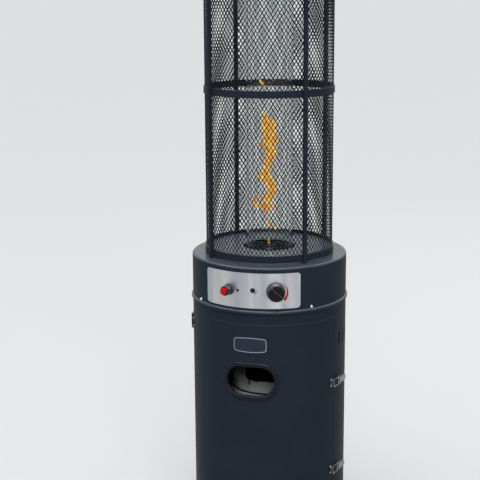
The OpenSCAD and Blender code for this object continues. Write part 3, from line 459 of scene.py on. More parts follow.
glasses = {"flameGlass": {"deep": (0.93, 0.955, 0.95), "light": (0.97, 0.98, 0.975)}}
finish = {}
for make, looks in ((coatedSteel, coats), (bareMetal, metals), (chromedSteel, chromes),
                    (mouldedPlastic, plastics), (bottleCoat, bottles), (clearGlass, glasses)):
    finish.update({name: make(name, look) for name, look in looks.items()})
slotFinish = {
    "dark_paint": "wallCoat", "mesh_paint": "meshCoat", "table_paint": "tableCoat", "rim_black": "rimBlack",
    "inner_steel": "innerSheet", "brushed_panel": "panelSteel", "plain_plate": "plateFace",
    "zinc": "zincPlate", "bright_screw": "screwSteel", "gloss_black": "knobBlack",
    "base_ring_grey": "ringGrey", "button_red": "buttonRed", "lens_red": "lensRed",
    "brass_parts": "turnedBrass", "burner_steel": "burnerSteel", "flame_glass": "flameGlass",
    "bottle_paint": "bottlePaint", "wheel_plastic": "wheelGrey", "wheel_tyre": "tyreRubber",
    "regulator_cast": "castAlloy", "foot_rubber": "tyreRubber", "hose_rubber": "hoseRubber",
}
slotOf = {part["node"]: part["material_slot"] for part in frame["record"]["subparts"]}
ownLook = {"igniter_nut": "collarGrey", "igniter_body": "collarGrey", "glass_seat": "burnerSteel"}
latchNodes = ["latch_bases", "latch_keepers", "upper_latch_lever", "upper_latch_loop",
              "lower_latch_lever", "lower_latch_loop"]
ownLook.update({node: "latchChrome" for node in latchNodes})


def lookOf(node):
    return ownLook.get(node, slotFinish[slotOf[node]])


def dressNodes():
    for name, obj in cad.items():
        obj.data.materials.clear()
        obj.data.materials.append(finish[lookOf(name)])


dressNodes()
print("finishes made:", len(finish))


# Piece helpers
def wallAxes(turn, height, radius):
    right = Vector((math.cos(turn), math.sin(turn), 0))
    out = Vector((math.sin(turn), -math.cos(turn), 0))
    axes = Matrix((right, Vector((0, 0, 1)), out)).transposed().to_4x4()
    return Matrix.Translation(wallPoint(turn, height, radius)) @ axes


def meshFrom(name, bm):
    mesh = bpy.data.meshes.new(name)
    bm.to_mesh(mesh)
    bm.free()
    return mesh


def makePiece(name, bm, body, look, smooth=40):
    bmesh.ops.remove_doubles(bm, verts=bm.verts, dist=1e-6)
    bmesh.ops.recalc_face_normals(bm, faces=bm.faces)
    return finishPiece(name, meshFrom(name, bm), body, look, smooth)


def smoothFaces(mesh):
    mesh.polygons.foreach_set("use_smooth", [True] * len(mesh.polygons))


def finishPiece(name, mesh, body, look, smooth=40):
    mesh.materials.clear()
    mesh.materials.append(finish[look])
    smoothFaces(mesh)
    mesh.set_sharp_from_angle(angle=math.radians(smooth))
    obj = addObject(name, mesh)
    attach(obj, body)
    return obj


def roundEdges(obj, width, segments, angle):
    bevel = obj.modifiers.new("edge", "BEVEL")
    bevel.width = width * mm
    bevel.segments = segments
    bevel.limit_method = "ANGLE"
    bevel.angle_limit = math.radians(angle)
    bevel.harden_normals = True


def circleTurns(count):
    return [2 * math.pi * k / count for k in range(count)]


def gridFaces(bm, rows, closeRows=False, closeColumns=False):
    count = len(rows)
    width = len(rows[0])
    for i in range(count if closeRows else count - 1):
        for j in range(width if closeColumns else width - 1):
            nextRow = rows[(i + 1) % count]
            bm.faces.new((rows[i][j], rows[i][(j + 1) % width], nextRow[(j + 1) % width], nextRow[j]))


def fanFaces(bm, ring, hub):
    for j in range(len(ring)):
        bm.faces.new((ring[j], ring[(j + 1) % len(ring)], hub))


def lathe(bm, profile, axes, steps):
    rows = []
    for turn in circleTurns(steps):
        rows.append([bm.verts.new(axes @ Vector((r * math.cos(turn), r * math.sin(turn), z)))
                     for r, z in profile])
    gridFaces(bm, rows, closeRows=True)


def bodyOf(node):
    for body, names in frame["record"]["behaviour"]["bodies"].items():
        if node in names:
            return body
    return "heater_body"


def mergedCopy(node):
    bm = bmesh.new()
    bm.from_mesh(cad[node].data)
    bmesh.ops.remove_doubles(bm, verts=bm.verts, dist=2e-6)
    return bm


# Crisp metal pieces get a merged copy with rounded edges, widths in mm
softEdges = {
    "cage_posts": 0.5, "cage_base_ring": 0.6, "cage_middle_ring": 0.6, "cage_top_ring": 0.6,
    "latch_bases": 0.25, "upper_latch_lever": 0.3, "lower_latch_lever": 0.3, "upper_latch_loop": 0.3,
    "lower_latch_loop": 0.3, "latch_keepers": 0.3, "hinge_frame_leaves": 0.3, "hinge_door_leaves": 0.3,
    "igniter_nut": 0.6, "igniter_body": 0.7, "knob_base_ring": 0.6, "control_panel": 0.25,
    "base_pan": 0.4, "wheel_brackets": 0.5, "glass_spider": 0.4, "regulator": 1.0, "bottle_handwheel": 0.8,
    "front_door": 0.6,
}


def softCopy(node, edge):
    bm = mergedCopy(node)
    bmesh.ops.dissolve_limit(bm, angle_limit=math.radians(0.5), verts=bm.verts, edges=bm.edges)
    mesh = meshFrom(node + "_soft", bm)
    obj = finishPiece(node + "_soft", mesh, bodyOf(node), lookOf(node), smooth=35)
    roundEdges(obj, edge, segments=2, angle=40)
    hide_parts(node)


for node, edge in softEdges.items():
    softCopy(node, edge)
print("soft edges on", len(softEdges), "nodes")


# Geometry Nodes helpers
def growTree(name, inputs):
    tree = bpy.data.node_groups.new(name, "GeometryNodeTree")
    for kind, labels in inputs.items():
        for label in labels:
            tree.interface.new_socket(label, in_out="INPUT", socket_type="NodeSocket" + kind)
    tree.interface.new_socket("Geometry", in_out="OUTPUT", socket_type="NodeSocketGeometry")
    return tree, addNode(tree, "NodeGroupInput").outputs


def moved(geometry, **shift):
    return nodeFor("GeometryNodeSetPosition", {"Geometry": geometry, **shift}).outputs["Geometry"]


def realCopies(values):
    copies = nodeFor("GeometryNodeInstanceOnPoints", values).outputs["Instances"]
    return nodeFor("GeometryNodeRealizeInstances", {"Geometry": copies}).outputs["Geometry"]


def dressedOut(geometry, material):
    tree = geometry.id_data
    dress = addNode(tree, "GeometryNodeSetMaterial", {"Geometry": geometry, "Material": material})
    addNode(tree, "NodeGroupOutput", {"Geometry": dress.outputs["Geometry"]})
    return tree


def growMesh(name, tree, values, start=None):
    holder = addObject(name + "Holder", start or bpy.data.meshes.new(name + "Start"))
    modifier = holder.modifiers.new("grow", "NODES")
    modifier.node_group = tree
    for item in tree.interface.items_tree:
        if item.item_type == "SOCKET" and item.in_out == "INPUT" and item.name in values:
            modifier[item.identifier] = values[item.name]
    view = bpy.context.evaluated_depsgraph_get()
    grown = bpy.data.meshes.new_from_object(holder.evaluated_get(view))
    holder.modifiers.remove(modifier)
    bpy.data.objects.remove(holder)
    grown.name = name
    return grown


# Expanded mesh of the cage: zigzag strands that meet at their bonds, wrapped round the axis
cageMesh = {"columns": 98, "cellHeight": 16.5, "strand": 1.9, "sheet": 0.9, "bond": 3.4}


def makeCageTree():
    tree, get = growTree("expandedMesh", {
        "Int": ["Columns", "Points"], "Material": ["Finish"],
        "Float": ["Cell Height", "Radius", "Strand", "Sheet", "Bond", "Foot"]})
    strands = times(get["Columns"], 2.0)
    halfCell = maths("DIVIDE", times(get["Radius"], 2 * math.pi), strands)
    sway = times(minus(halfCell, get["Strand"]), 0.5)
    section = addNode(tree, "GeometryNodeCurvePrimitiveQuadrilateral",
                      {"Width": get["Sheet"], "Height": get["Strand"]}).outputs["Curve"]
    index = addNode(tree, "GeometryNodeInputIndex").outputs[0]
    odd = maths("MODULO", index, 2.0)
    step = maths("FLOOR", times(plus(index, 1.0), 0.5))
    lean = minus(1.0, times(odd, 2.0))
    rise = times(times(step, get["Cell Height"]), 0.5)
    flat = times(times(lean, get["Bond"]), 0.5)
    join = addNode(tree, "GeometryNodeJoinGeometry")
    for phase in (0.0, 1.0):
        line = addNode(tree, "GeometryNodeMeshLine", {"Count": get["Points"]}).outputs["Mesh"]
        swing = maths("MODULO", plus(step, phase), 2.0)
        side = minus(times(swing, 2.0), 1.0)
        point = combine(X=times(side, sway), Z=plus(rise, flat))
        path = addNode(tree, "GeometryNodeMeshToCurve", {"Mesh": moved(line, Position=point)})
        strand = addNode(tree, "GeometryNodeCurveToMesh", {
            "Curve": path.outputs["Curve"], "Profile Curve": section, "Fill Caps": True})
        whole = addNode(tree, "GeometryNodeGeometryToInstance", {"Geometry": strand.outputs["Mesh"]})
        feed(join.inputs["Geometry"], whole.outputs["Instances"])
    row = addNode(tree, "GeometryNodeMeshLine", {"Count": strands, "Offset": combine(X=halfCell)})
    sheet = realCopies({"Points": row.outputs["Mesh"], "Instance": join.outputs["Geometry"],
                              "Pick Instance": True, "Instance Index": odd})
    spot = split(addNode(tree, "GeometryNodeInputPosition").outputs[0])
    turn = maths("DIVIDE", spot["X"], get["Radius"])
    reach = minus(get["Radius"], spot["Y"])
    wrapped = combine(X=times(reach, maths("SINE", turn)),
                      Y=times(times(reach, maths("COSINE", turn)), -1.0),
                      Z=plus(spot["Z"], get["Foot"]))
    return dressedOut(moved(sheet, Position=wrapped), get["Finish"])


def makeCageMesh(s):
    tree = makeCageTree()
    for node, name in (("lower_mesh", "lowerCageMesh"), ("upper_mesh", "upperCageMesh")):
        low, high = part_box(node)
        halfRows = int((high[2] - low[2]) / (s["cellHeight"] * mm / 2))
        cell = 2 * (high[2] - low[2]) / halfRows
        values = {"Columns": s["columns"], "Points": 2 * halfRows, "Cell Height": cell,
                  "Radius": high[0] - s["sheet"] * mm / 2, "Strand": s["strand"] * mm,
                  "Sheet": s["sheet"] * mm, "Bond": s["bond"] * mm, "Foot": low[2],
                  "Finish": finish["meshCoat"]}
        mesh = growMesh(name, tree, values)
        obj = finishPiece(name, mesh, "heater_body", "meshCoat", smooth=20)
        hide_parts(node)
        print(name, len(mesh.polygons), "faces")


makeCageMesh(cageMesh)


# Screw heads, one on every screw solid of a node
screwHead = {"segments": 32, "rings": 9, "crown": 0.8, "rim": 0.2, "recess": 0.55, "slotWidth": 0.2,
             "slotLength": 0.58}
seatSlack = 0.2 * mm


def loosePieces(node):
    bm = mergedCopy(node)
    left = set(bm.verts)
    found = []
    while left:
        stack = [left.pop()]
        group = []
        while stack:
            vert = stack.pop()
            group.append(vert.co.copy())
            for edge in vert.link_edges:
                other = edge.other_vert(vert)
                if other in left:
                    left.discard(other)
                    stack.append(other)
        found.append(group)
    bm.free()
    return found


def makeScrewTree(s):
    tree, get = growTree("screwHeads", {"Geometry": ["Geometry"], "Material": ["Finish"]})
    heading, size = [addNode(tree, "GeometryNodeInputNamedAttribute", {"Name": name},
                             data_type="FLOAT_VECTOR").outputs["Attribute"]
                     for name in ("heading", "headSize")]
    head = addNode(tree, "GeometryNodeMeshCylinder", {
        "Vertices": s["segments"], "Side Segments": 1, "Fill Segments": s["rings"],
        "Radius": 1.0, "Depth": s["rim"]}, fill_type="TRIANGLE_FAN")
    spot = split(addNode(tree, "GeometryNodeInputPosition").outputs[0])
    radius = vectorMaths("LENGTH", combine(X=spot["X"], Y=spot["Y"]))["Value"]
    square = maths("MINIMUM", times(radius, radius), 1.0)
    crown = times(maths("SQRT", minus(1.0, square)), s["crown"])
    wide, deep = [maths("ABSOLUTE", spot[axis]) for axis in "XY"]
    thin = maths("LESS_THAN", maths("MINIMUM", wide, deep), s["slotWidth"])
    short = maths("LESS_THAN", radius, s["slotLength"])
    sunk = times(times(thin, short), s["recess"])
    top = maths("GREATER_THAN", spot["Z"], 0.0)
    shift = combine(Z=times(minus(crown, sunk), top))
    align = addNode(tree, "FunctionNodeAlignRotationToVector", {"Vector": heading}, axis="Z")
    heads = realCopies({"Points": get["Geometry"], "Scale": size, "Rotation": align.outputs["Rotation"],
                              "Instance": moved(head.outputs["Mesh"], Offset=shift)})
    return dressedOut(heads, get["Finish"])


def screwSeats(node):
    seats = []
    for points in loosePieces(node):
        middle = sum(points, Vector()) / len(points)
        flat = Vector((middle.x, middle.y, 0)).normalized()
        spanZ = max(p.z for p in points) - min(p.z for p in points)
        side = flat.cross(Vector((0, 0, 1)))
        width = max(p.dot(side) for p in points) - min(p.dot(side) for p in points)
        out = Vector((0, 0, 1)) if abs(width - spanZ) > seatSlack else flat
        tip = max(p.dot(out) for p in points)
        rim = max(points, key=lambda p: (p - middle - out * (p - middle).dot(out)).length)
        seats.append((middle + out * (rim.dot(out) - middle.dot(out)), out, width / 2, tip - rim.dot(out)))
    return seats


def makeScrews(node, name, tree, look):
    seats = screwSeats(node)
    mesh = bpy.data.meshes.new(name + "Seats")
    lift = screwHead["rim"] / 2
    mesh.from_pydata([spot + out * lift * height for spot, out, _, height in seats], [], [])
    heading = mesh.attributes.new("heading", "FLOAT_VECTOR", "POINT")
    size = mesh.attributes.new("headSize", "FLOAT_VECTOR", "POINT")
    for i, (_, out, radius, height) in enumerate(seats):
        heading.data[i].vector = out
        size.data[i].vector = (radius, radius, height)
    grown = growMesh(name, tree, {"Finish": finish[look]}, mesh)
    obj = finishPiece(name, grown, "heater_body", look, smooth=30)
    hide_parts(node)
    print(name, len(seats), "screws")


screwTree = makeScrewTree(screwHead)
makeScrews("drum_screws", "drumScrewHeads", screwTree, "screwSteel")
makeScrews("cage_screws", "cageScrewHeads", screwTree, "wallCoat")


# Rivets of the door hinges, two on each leaf, with the crown as shares of radius and height
hingeRivet = {"radius": 2.4 * mm, "height": 1.4 * mm, "seam": 70.14, "reach": 3.4, "pitch": 11 * mm,
              "leafHeight": 40 * mm, "leafThickness": 1.2 * mm, "steps": 20,
              "crown": [(0.0, 1.0), (0.45, 0.92), (0.8, 0.6), (1.0, 0.0), (1.0, -0.2), (0.0, -0.2)]}


def makeHingeRivets(s):
    low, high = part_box("hinge_frame_leaves")
    levels = [low[2] + s["leafHeight"] / 2, high[2] - s["leafHeight"] / 2]
    profile = [(r * s["radius"], z * s["height"]) for r, z in s["crown"]]
    for node, name, side in (("hinge_frame_leaves", "frameHingeRivets", -1),
                             ("hinge_door_leaves", "doorHingeRivets", 1)):
        turn = math.radians(side * s["reach"] - s["seam"])
        bm = bmesh.new()
        for level in levels:
            for step in (-1, 1):
                spot = wallAxes(turn, level + step * s["pitch"], bodyRadius + s["leafThickness"])
                lathe(bm, profile, spot, s["steps"])
        makePiece(name, bm, bodyOf(node), "screwSteel", smooth=50)


makeHingeRivets(hingeRivet)


# Rolled rim of the hand opening, swept along its rounded outline on the wall
rimTrim = {"corner": 38.0, "cornerSteps": 14, "sideSteps": 10, "width": 11.0, "proud": 4.0, "fullness": 0.55,
           "lip": 4.5, "lipWall": 1.6, "crownSteps": 12, "overhang": 0.5}


def roundedPath(width, height, corner, cornerSteps, sideSteps):
    path = []
    for quarter in range(4):
        start = quarter * math.pi / 2
        centre = Vector((width / 2 - corner, height / 2 - corner))
        if quarter in (1, 2):
            centre.x = -centre.x
        if quarter in (2, 3):
            centre.y = -centre.y
        for k in range(cornerSteps + 1):
            turn = start + (math.pi / 2) * k / cornerSteps
            aim = Vector((math.cos(turn), math.sin(turn)))
            path.append((centre + corner * aim, aim))
        aim = Vector((math.cos(start + math.pi / 2), math.sin(start + math.pi / 2)))
        run = width - 2 * corner if quarter in (0, 2) else height - 2 * corner
        step = Vector((-aim.y, aim.x)) * run / sideSteps
        last = path[-1][0]
        path += [(last + step * k, aim) for k in range(1, sideSteps)]
    return path


def makeRim(s):
    low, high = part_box("opening_rim")
    middle = (low[2] + high[2]) / 2
    holeWidth = (high[0] - low[0]) - 2 * s["width"] * mm
    holeHeight = (high[2] - low[2]) - 2 * s["width"] * mm
    half = s["width"] / 2
    section = [(-s["overhang"], -s["lip"])]
    for k in range(s["crownSteps"] + 1):
        turn = math.pi * k / s["crownSteps"]
        bulge = s["proud"] * math.sin(turn) ** s["fullness"]
        section.append((half - (half + s["overhang"]) * math.cos(turn), max(bulge, 0.0)))
    section += [(s["lipWall"], 0.0), (s["lipWall"], -s["lip"])]
    bm = bmesh.new()
    rows = []
    for spot, aim in roundedPath(holeWidth, holeHeight, s["corner"] * mm, s["cornerSteps"], s["sideSteps"]):
        row = []
        for away, out in section:
            flat = spot + aim * away * mm
            turn = math.asin(flat.x / bodyRadius)
            row.append(bm.verts.new(wallPoint(turn, middle + flat.y, bodyRadius + out * mm)))
        rows.append(row)
    gridFaces(bm, rows, closeRows=True, closeColumns=True)
    obj = makePiece("openingRim", bm, "door", "rimBlack", smooth=50)
    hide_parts("opening_rim")


makeRim(rimTrim)


# Plain plate on the door: dark face with a bright raised edge line
doorPlate = {"corner": 8.0, "bow": 3.2, "edge": 2.0, "inset": 1.2, "raise": 0.35, "steps": 10, "foot": 0.1,
             "face": 1.15, "sink": 0.2, "layers": 6}


def wallRing(bm, outline, middle, radius):
    return [bm.verts.new(wallPoint(p.x / bodyRadius, middle + p.y, radius)) for p in outline]


def bowedOutline(width, height, corner, bow, steps):
    points = []
    for spot, _ in roundedPath(width, height, corner, steps, steps):
        lift = math.copysign(bow * (1 - (2 * spot.x / width) ** 2), spot.y)
        points.append(Vector((spot.x, spot.y + lift * min(1, abs(spot.y) / (height / 2)))))
    return points


def blendOnWall(spot, centre, share):
    radius = math.hypot(centre.x, centre.y)
    turn = math.atan2(spot.x, -spot.y) * share + math.atan2(centre.x, -centre.y) * (1 - share)
    return wallPoint(turn, spot.z * share + centre.z * (1 - share), radius)


def fillPatch(bm, ring, centre, layers):
    rows = [ring]
    for k in range(1, layers):
        rows.append([bm.verts.new(blendOnWall(v.co, centre, 1 - k / layers)) for v in ring])
    gridFaces(bm, rows, closeColumns=True)
    fanFaces(bm, rows[-1], bm.verts.new(centre))


def makePlate(s):
    low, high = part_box("door_plate")
    middle = (low[2] + high[2]) / 2
    width = 2 * bodyRadius * math.asin(high[0] / bodyRadius)
    height = high[2] - low[2] - 2 * s["bow"] * mm
    foot = bodyRadius + s["foot"] * mm
    face = bodyRadius + s["face"] * mm
    bm = bmesh.new()
    outline = bowedOutline(width, height, s["corner"] * mm, s["bow"] * mm, s["steps"])
    rings = [wallRing(bm, outline, middle, radius) for radius in (foot, face)]
    gridFaces(bm, rings, closeColumns=True)
    fillPatch(bm, rings[1], wallPoint(0, middle, face), s["layers"])
    fillPatch(bm, rings[0], wallPoint(0, middle, foot), s["layers"])
    obj = makePiece("doorPlateFace", bm, "door", "plateFace")
    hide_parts("door_plate")
    bm = bmesh.new()
    loops = []
    for inset in (s["inset"], s["inset"] + s["edge"]):
        loops.append(bowedOutline(width - 2 * inset * mm, height - 2 * inset * mm,
                                  (s["corner"] - inset) * mm, s["bow"] * mm, s["steps"]))
    sunk = face - s["sink"] * mm
    proud = face + s["raise"] * mm
    rows = [wallRing(bm, loops[k], middle, radius)
            for k, radius in ((0, sunk), (0, proud), (1, proud), (1, sunk))]
    gridFaces(bm, rows, closeRows=True, closeColumns=True)
    makePiece("doorPlateEdge", bm, "door", "plateEdge")


makePlate(doorPlate)
print("door trim made")


# Printed marks on the control panel: radius, angle and thickness go from one end of an arc to the other
knobLow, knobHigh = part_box("control_knob")
controls = {"height": (knobLow[2] + knobHigh[2]) / 2, "knobTurn": math.radians(18.6),
            "lensTurn": math.radians(2.3), "dotTurn": math.radians(9.1), "dotDrop": 9 * mm,
            "dotHeight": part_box("control_panel")[0][2] + 48 * mm, "panelSkin": 1.0, "inkFoot": -0.05,
            "inkTop": 0.12, "arcSteps": 36, "discSteps": 28, "dotSteps": 16, "lensRadius": 6.8,
            "dotRadius": 1.3}
flameArc = {"radius": (29.4, 31.6), "angle": (42, -46), "thick": (1.0, 7.4)}
lensArc = {"radius": (9.4, 10.4), "angle": (14, -58), "thick": (0.8, 3.6)}
thinArc = {"radius": (30.0, 30.0), "angle": (178, 262), "thick": (0.35, 0.35)}


def inkVert(bm, turn, height, radius, angle, lift):
    across = radius * math.cos(angle) / bodyRadius
    skin = bodyRadius + controls["panelSkin"] * mm
    return bm.verts.new(wallPoint(turn + across, height + radius * math.sin(angle), skin + lift * mm))


def printArc(bm, turn, height, arc):
    foot, top, steps = [controls[key] for key in ("inkFoot", "inkTop", "arcSteps")]
    rows = []
    for k in range(steps + 1):
        middle, angle, thick = [arc[key][0] + (arc[key][1] - arc[key][0]) * (k / steps)
                                for key in ("radius", "angle", "thick")]
        rows.append([inkVert(bm, turn, height, (middle + away * thick) * mm, math.radians(angle), lift)
                     for away, lift in ((-0.5, foot), (-0.5, top), (0.5, top), (0.5, foot))])
    gridFaces(bm, rows, closeColumns=True)
    bm.faces.new(rows[0])
    bm.faces.new(list(reversed(rows[-1])))


def printDisc(bm, turn, height, radius, steps):
    lifts = (controls["inkFoot"], controls["inkTop"])
    rings = [[inkVert(bm, turn, height, radius * mm, angle, lift) for angle in circleTurns(steps)]
             for lift in lifts]
    gridFaces(bm, rings, closeColumns=True)
    for ring, lift in zip(rings, lifts):
        fanFaces(bm, ring, inkVert(bm, turn, height, 0.0, 0.0, lift))


def makePanelMarks(s):
    red = bmesh.new()
    printArc(red, s["knobTurn"], s["height"], flameArc)
    printDisc(red, s["dotTurn"], s["dotHeight"] - s["dotDrop"], s["dotRadius"], s["dotSteps"])
    printArc(red, s["lensTurn"], s["dotHeight"], lensArc)
    makePiece("panelRedMarks", red, "heater_body", "markRed")
    black = bmesh.new()
    printDisc(black, s["lensTurn"], s["dotHeight"], s["lensRadius"], s["discSteps"])
    printArc(black, s["knobTurn"], s["height"], thinArc)
    makePiece("panelBlackMarks", black, "heater_body", "markBlack")


makePanelMarks(controls)


# Control knob: turned barrel and tapered grip, with foot and face as inset from the radius and rise or dip
dialKnob = {"back": 8.0, "radius": 23.0, "length": 17.0, "round": 2.6, "roundSteps": 6, "shoulder": 1,
            "foot": [(23.0, 0.4), (3.0, 0.4), (2.6, 0.0), (0.6, 0.0), (0.0, 0.6)],
            "face": [(6.0, 0.5), (12.0, 0.9), (23.0, 1.0)], "steps": 72, "rest": -42.0,
            "gripHeight": 7.0, "gripWidth": 13.0, "gripTaper": 0.78, "gripLean": 0.06, "gripRound": 1.6,
            "gripInset": 1.3, "gripSink": 2.0, "gripSteps": 4, "lineInset": 1.6, "lineHalf": 0.5,
            "lineSpan": (-0.84, 0.9), "lineDepth": (-0.5, 0.05)}
boxSides = ((0, 1, 3, 2), (4, 6, 7, 5), (0, 4, 5, 1), (2, 3, 7, 6), (0, 2, 6, 4), (1, 5, 7, 3))


def makeBarrel(s, turned, front):
    profile = [(s["radius"] - inset, s["back"] + lift) for inset, lift in s["foot"]]
    for k in range(s["roundSteps"] + 1):
        turn = math.pi / 2 * k / s["roundSteps"]
        profile.append((s["radius"] - s["shoulder"] - s["round"] * (1 - math.cos(turn)),
                        front - s["round"] * (1 - math.sin(turn))))
    profile += [(s["radius"] - inset, front - dip) for inset, dip in s["face"]]
    bm = bmesh.new()
    lathe(bm, profile, turned, s["steps"])
    knob = makePiece("knobBarrel", bm, "knob", "knobBlack", smooth=45)
    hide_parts("control_knob")


def makeKnob(s):
    axes = wallAxes(controls["knobTurn"], controls["height"], bodyRadius)
    turned = axes @ Matrix.Rotation(math.radians(s["rest"]), 4, "Z") @ Matrix.Scale(mm, 4)
    front = s["back"] + s["length"]
    makeBarrel(s, turned, front)
    bm = bmesh.new()
    reach = s["radius"] - s["gripInset"]
    half = s["gripWidth"] / 2
    swing = math.asin(half / reach)
    steps = s["gripSteps"]
    turns = [start + swing * k / steps for start in (0, math.pi) for k in range(-steps, steps + 1)]
    outline = [Vector((reach * math.cos(turn), reach * math.sin(turn))) for turn in turns]
    rows = []
    for share in (0.0, 0.5, 1.0):
        narrow = 1 - (1 - s["gripTaper"]) * share
        height = front - s["gripSink"] + (s["gripHeight"] + s["gripSink"]) * share
        rows.append([bm.verts.new(turned @ Vector((p.x * (1 - s["gripLean"] * share), p.y * narrow, height)))
                     for p in outline])
    gridFaces(bm, rows, closeColumns=True)
    bm.faces.new(rows[0])
    bm.faces.new(rows[-1])
    grip = makePiece("knobGrip", bm, "knob", "knobBlack", smooth=30)
    roundEdges(grip, s["gripRound"], segments=4, angle=35)
    # The grey pointer line along the grip's upper edge is partly a real pointer and partly a painted
    # highlight of that edge
    bm = bmesh.new()
    top = front + s["gripHeight"]
    edge = half * s["gripTaper"] - s["lineInset"]
    verts = [bm.verts.new(turned @ Vector((reach * x, edge + y, top + z))) for x in s["lineSpan"]
             for y in (-s["lineHalf"], s["lineHalf"]) for z in s["lineDepth"]]
    for side in boxSides:
        bm.faces.new([verts[i] for i in side])
    makePiece("knobPointerHighlight", bm, "knob", "ringGrey", smooth=30)


makeKnob(dialKnob)
print("controls made")


# Weld beads where the collar meets the bottle
collarWeld = {"pitch": 3.6, "bead": 3.4, "flat": 0.62, "lift": 1.5, "segments": 8, "rings": 5, "seed": 7,
              "smallest": 0.82, "largest": 1.12}


def makeWeldTree(s):
    tree, get = growTree("weldBeads", {"Float": ["Radius", "Bead", "Flat", "Level"], "Int": ["Count"],
                                       "Material": ["Finish"]})
    circle = addNode(tree, "GeometryNodeMeshCircle", {"Radius": get["Radius"], "Vertices": get["Count"]})
    ring = moved(circle.outputs["Mesh"], Offset=combine(Z=get["Level"]))
    bead = addNode(tree, "GeometryNodeMeshUVSphere", {
        "Segments": s["segments"], "Rings": s["rings"], "Radius": get["Bead"]})
    size = addNode(tree, "FunctionNodeRandomValue", {2: s["smallest"], 3: s["largest"], "Seed": s["seed"]},
                   data_type="FLOAT").outputs[1]
    beads = realCopies({"Points": ring, "Instance": bead.outputs["Mesh"],
                              "Scale": combine(X=size, Y=size, Z=get["Flat"])})
    return dressedOut(beads, get["Finish"])


def makeWeld(s):
    low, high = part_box("bottle_collar")
    radius = high[0]
    count = int(2 * math.pi * radius / (s["pitch"] * mm))
    values = {"Radius": radius, "Count": count, "Bead": s["bead"] * mm, "Flat": s["flat"],
              "Level": low[2] + s["lift"] * mm, "Finish": finish["bottlePaint"]}
    mesh = growMesh("collarWeld", makeWeldTree(s), values)
    finishPiece("collarWeld", mesh, "heater_body", "bottlePaint", smooth=60)


makeWeld(collarWeld)


# Hose from the regulator spigot up to the inlet of the gas valve
gasHose = {"regTurn": 40.0, "regReach": 71.5, "inletTurn": 18.6, "inletReach": 165.0, "radius": 6.0,
           "rings": 48, "sides": 24, "rib": 0.12}


def makeHose(s):
    low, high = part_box("gas_hose")
    start = wallPoint(math.radians(s["regTurn"]), low[2], s["regReach"] * mm)
    end = wallPoint(math.radians(s["inletTurn"]), high[2], s["inletReach"] * mm)
    pull = Vector((0, 0, (high[2] - low[2]) / 2))
    points = [start, start + pull, end - pull, end]
    bm = bmesh.new()
    rows = []
    for k in range(s["rings"] + 1):
        t = k / s["rings"]
        shares = ((1 - t) ** 3, 3 * t * (1 - t) ** 2, 3 * t * t * (1 - t), t ** 3)
        spot = sum((p * w for p, w in zip(points, shares)), Vector())
        slopes = ((1 - t) ** 2, 2 * t * (1 - t), t * t)
        along = sum(((points[i + 1] - points[i]) * slopes[i] for i in range(3)), Vector()).normalized()
        side = along.cross(Vector((1, 0, 0))).normalized()
        other = along.cross(side)
        reach = (s["radius"] - s["rib"] * (k % 2)) * mm
        rows.append([bm.verts.new(spot + reach * (side * math.cos(a) + other * math.sin(a)))
                     for a in circleTurns(s["sides"])])
    gridFaces(bm, rows, closeColumns=True)
    bm.faces.new(rows[0])
    bm.faces.new(list(reversed(rows[-1])))
    obj = makePiece("gasHose", bm, "heater_body", "hoseRubber", smooth=50)
    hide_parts("gas_hose")


makeHose(gasHose)
print("bottle dressed")


# Flame in the glass tube: tongues given as sideways offset, height and width in mm
flameTongues = [
    [(-15, 1216, 1), (-14, 1204, 7), (-10, 1190, 20), (-4, 1176, 36), (-4, 1160, 33), (4, 1140, 40),
     (1, 1122, 34), (3, 1094, 29), (0, 1080, 26), (-8, 1060, 17), (-10, 1036, 29), (-1, 1018, 29),
     (8, 1004, 25), (5, 987, 27), (-9, 970, 19), (-7, 956, 13), (-5, 942, 17), (-5, 930, 4)],
    [(20, 1184, 1), (17, 1176, 5), (11, 1166, 9), (2, 1154, 10), (-2, 1142, 3)],
    [(-30, 1122, 2), (-27, 1118, 7), (-18, 1126, 8), (-8, 1136, 3)],
    [(-36, 1040, 2), (-32, 1035, 8), (-22, 1038, 9), (-12, 1044, 4)],
    [(-22, 980, 4), (-34, 978, 9), (-39, 968, 11), (-37, 955, 11), (-28, 951, 9), (-18, 957, 9),
     (-10, 964, 4)],
    [(-6, 962, 5), (-13, 950, 8), (-17, 940, 5), (-18, 934, 1)],
    [(0, 962, 6), (8, 950, 10), (14, 942, 7), (17, 936, 1)],
    [(12, 898, 1), (15, 892, 5), (17, 886, 1)],
    [(-8, 912, 1), (-4, 906, 8), (3, 900, 9), (6, 893, 2)],
    [(-26, 1296, 1), (-21, 1288, 8), (-12, 1278, 5), (-8, 1268, 1)],
    [(-2, 862, 1), (-1, 856, 7), (0, 848, 2)],
]
flameShape = {"sides": 12, "rings": 7, "depth": 0.6, "ragged": 0.28, "waves": (1.9, 0.73), "thinnest": 0.5,
              "face": shot["turn"]}
flameLook = {"dark": (0.80, 0.19, 0.002), "bright": (1.0, 0.70, 0.11), "licks": (95.0, 95.0, 52.0)}


def makeFlameFinish(look):
    material, shader, position = startFinish(
        "flameGlow", Specular_IOR_Level=0.0, Roughness=1.0, Emission_Strength=1.0,
        Base_Color=(0.0, 0.0, 0.0, 1.0))
    licks = noise(stretched(position, look["licks"]), 1.0, detail=6.0, rough=0.66)
    heat = ramp(licks, 0.44, 0.60)
    feed(shader["Emission Color"], mixColour(heat, look["dark"], look["bright"]))
    facing = addNode(position.id_data, "ShaderNodeLayerWeight", {"Blend": 0.35}).outputs["Facing"]
    body = minus(ramp(licks, 0.37, 0.54), times(facing, 0.85), clamp=True)
    feed(shader["Alpha"], ramp(body, 0.05, 0.45))
    return material


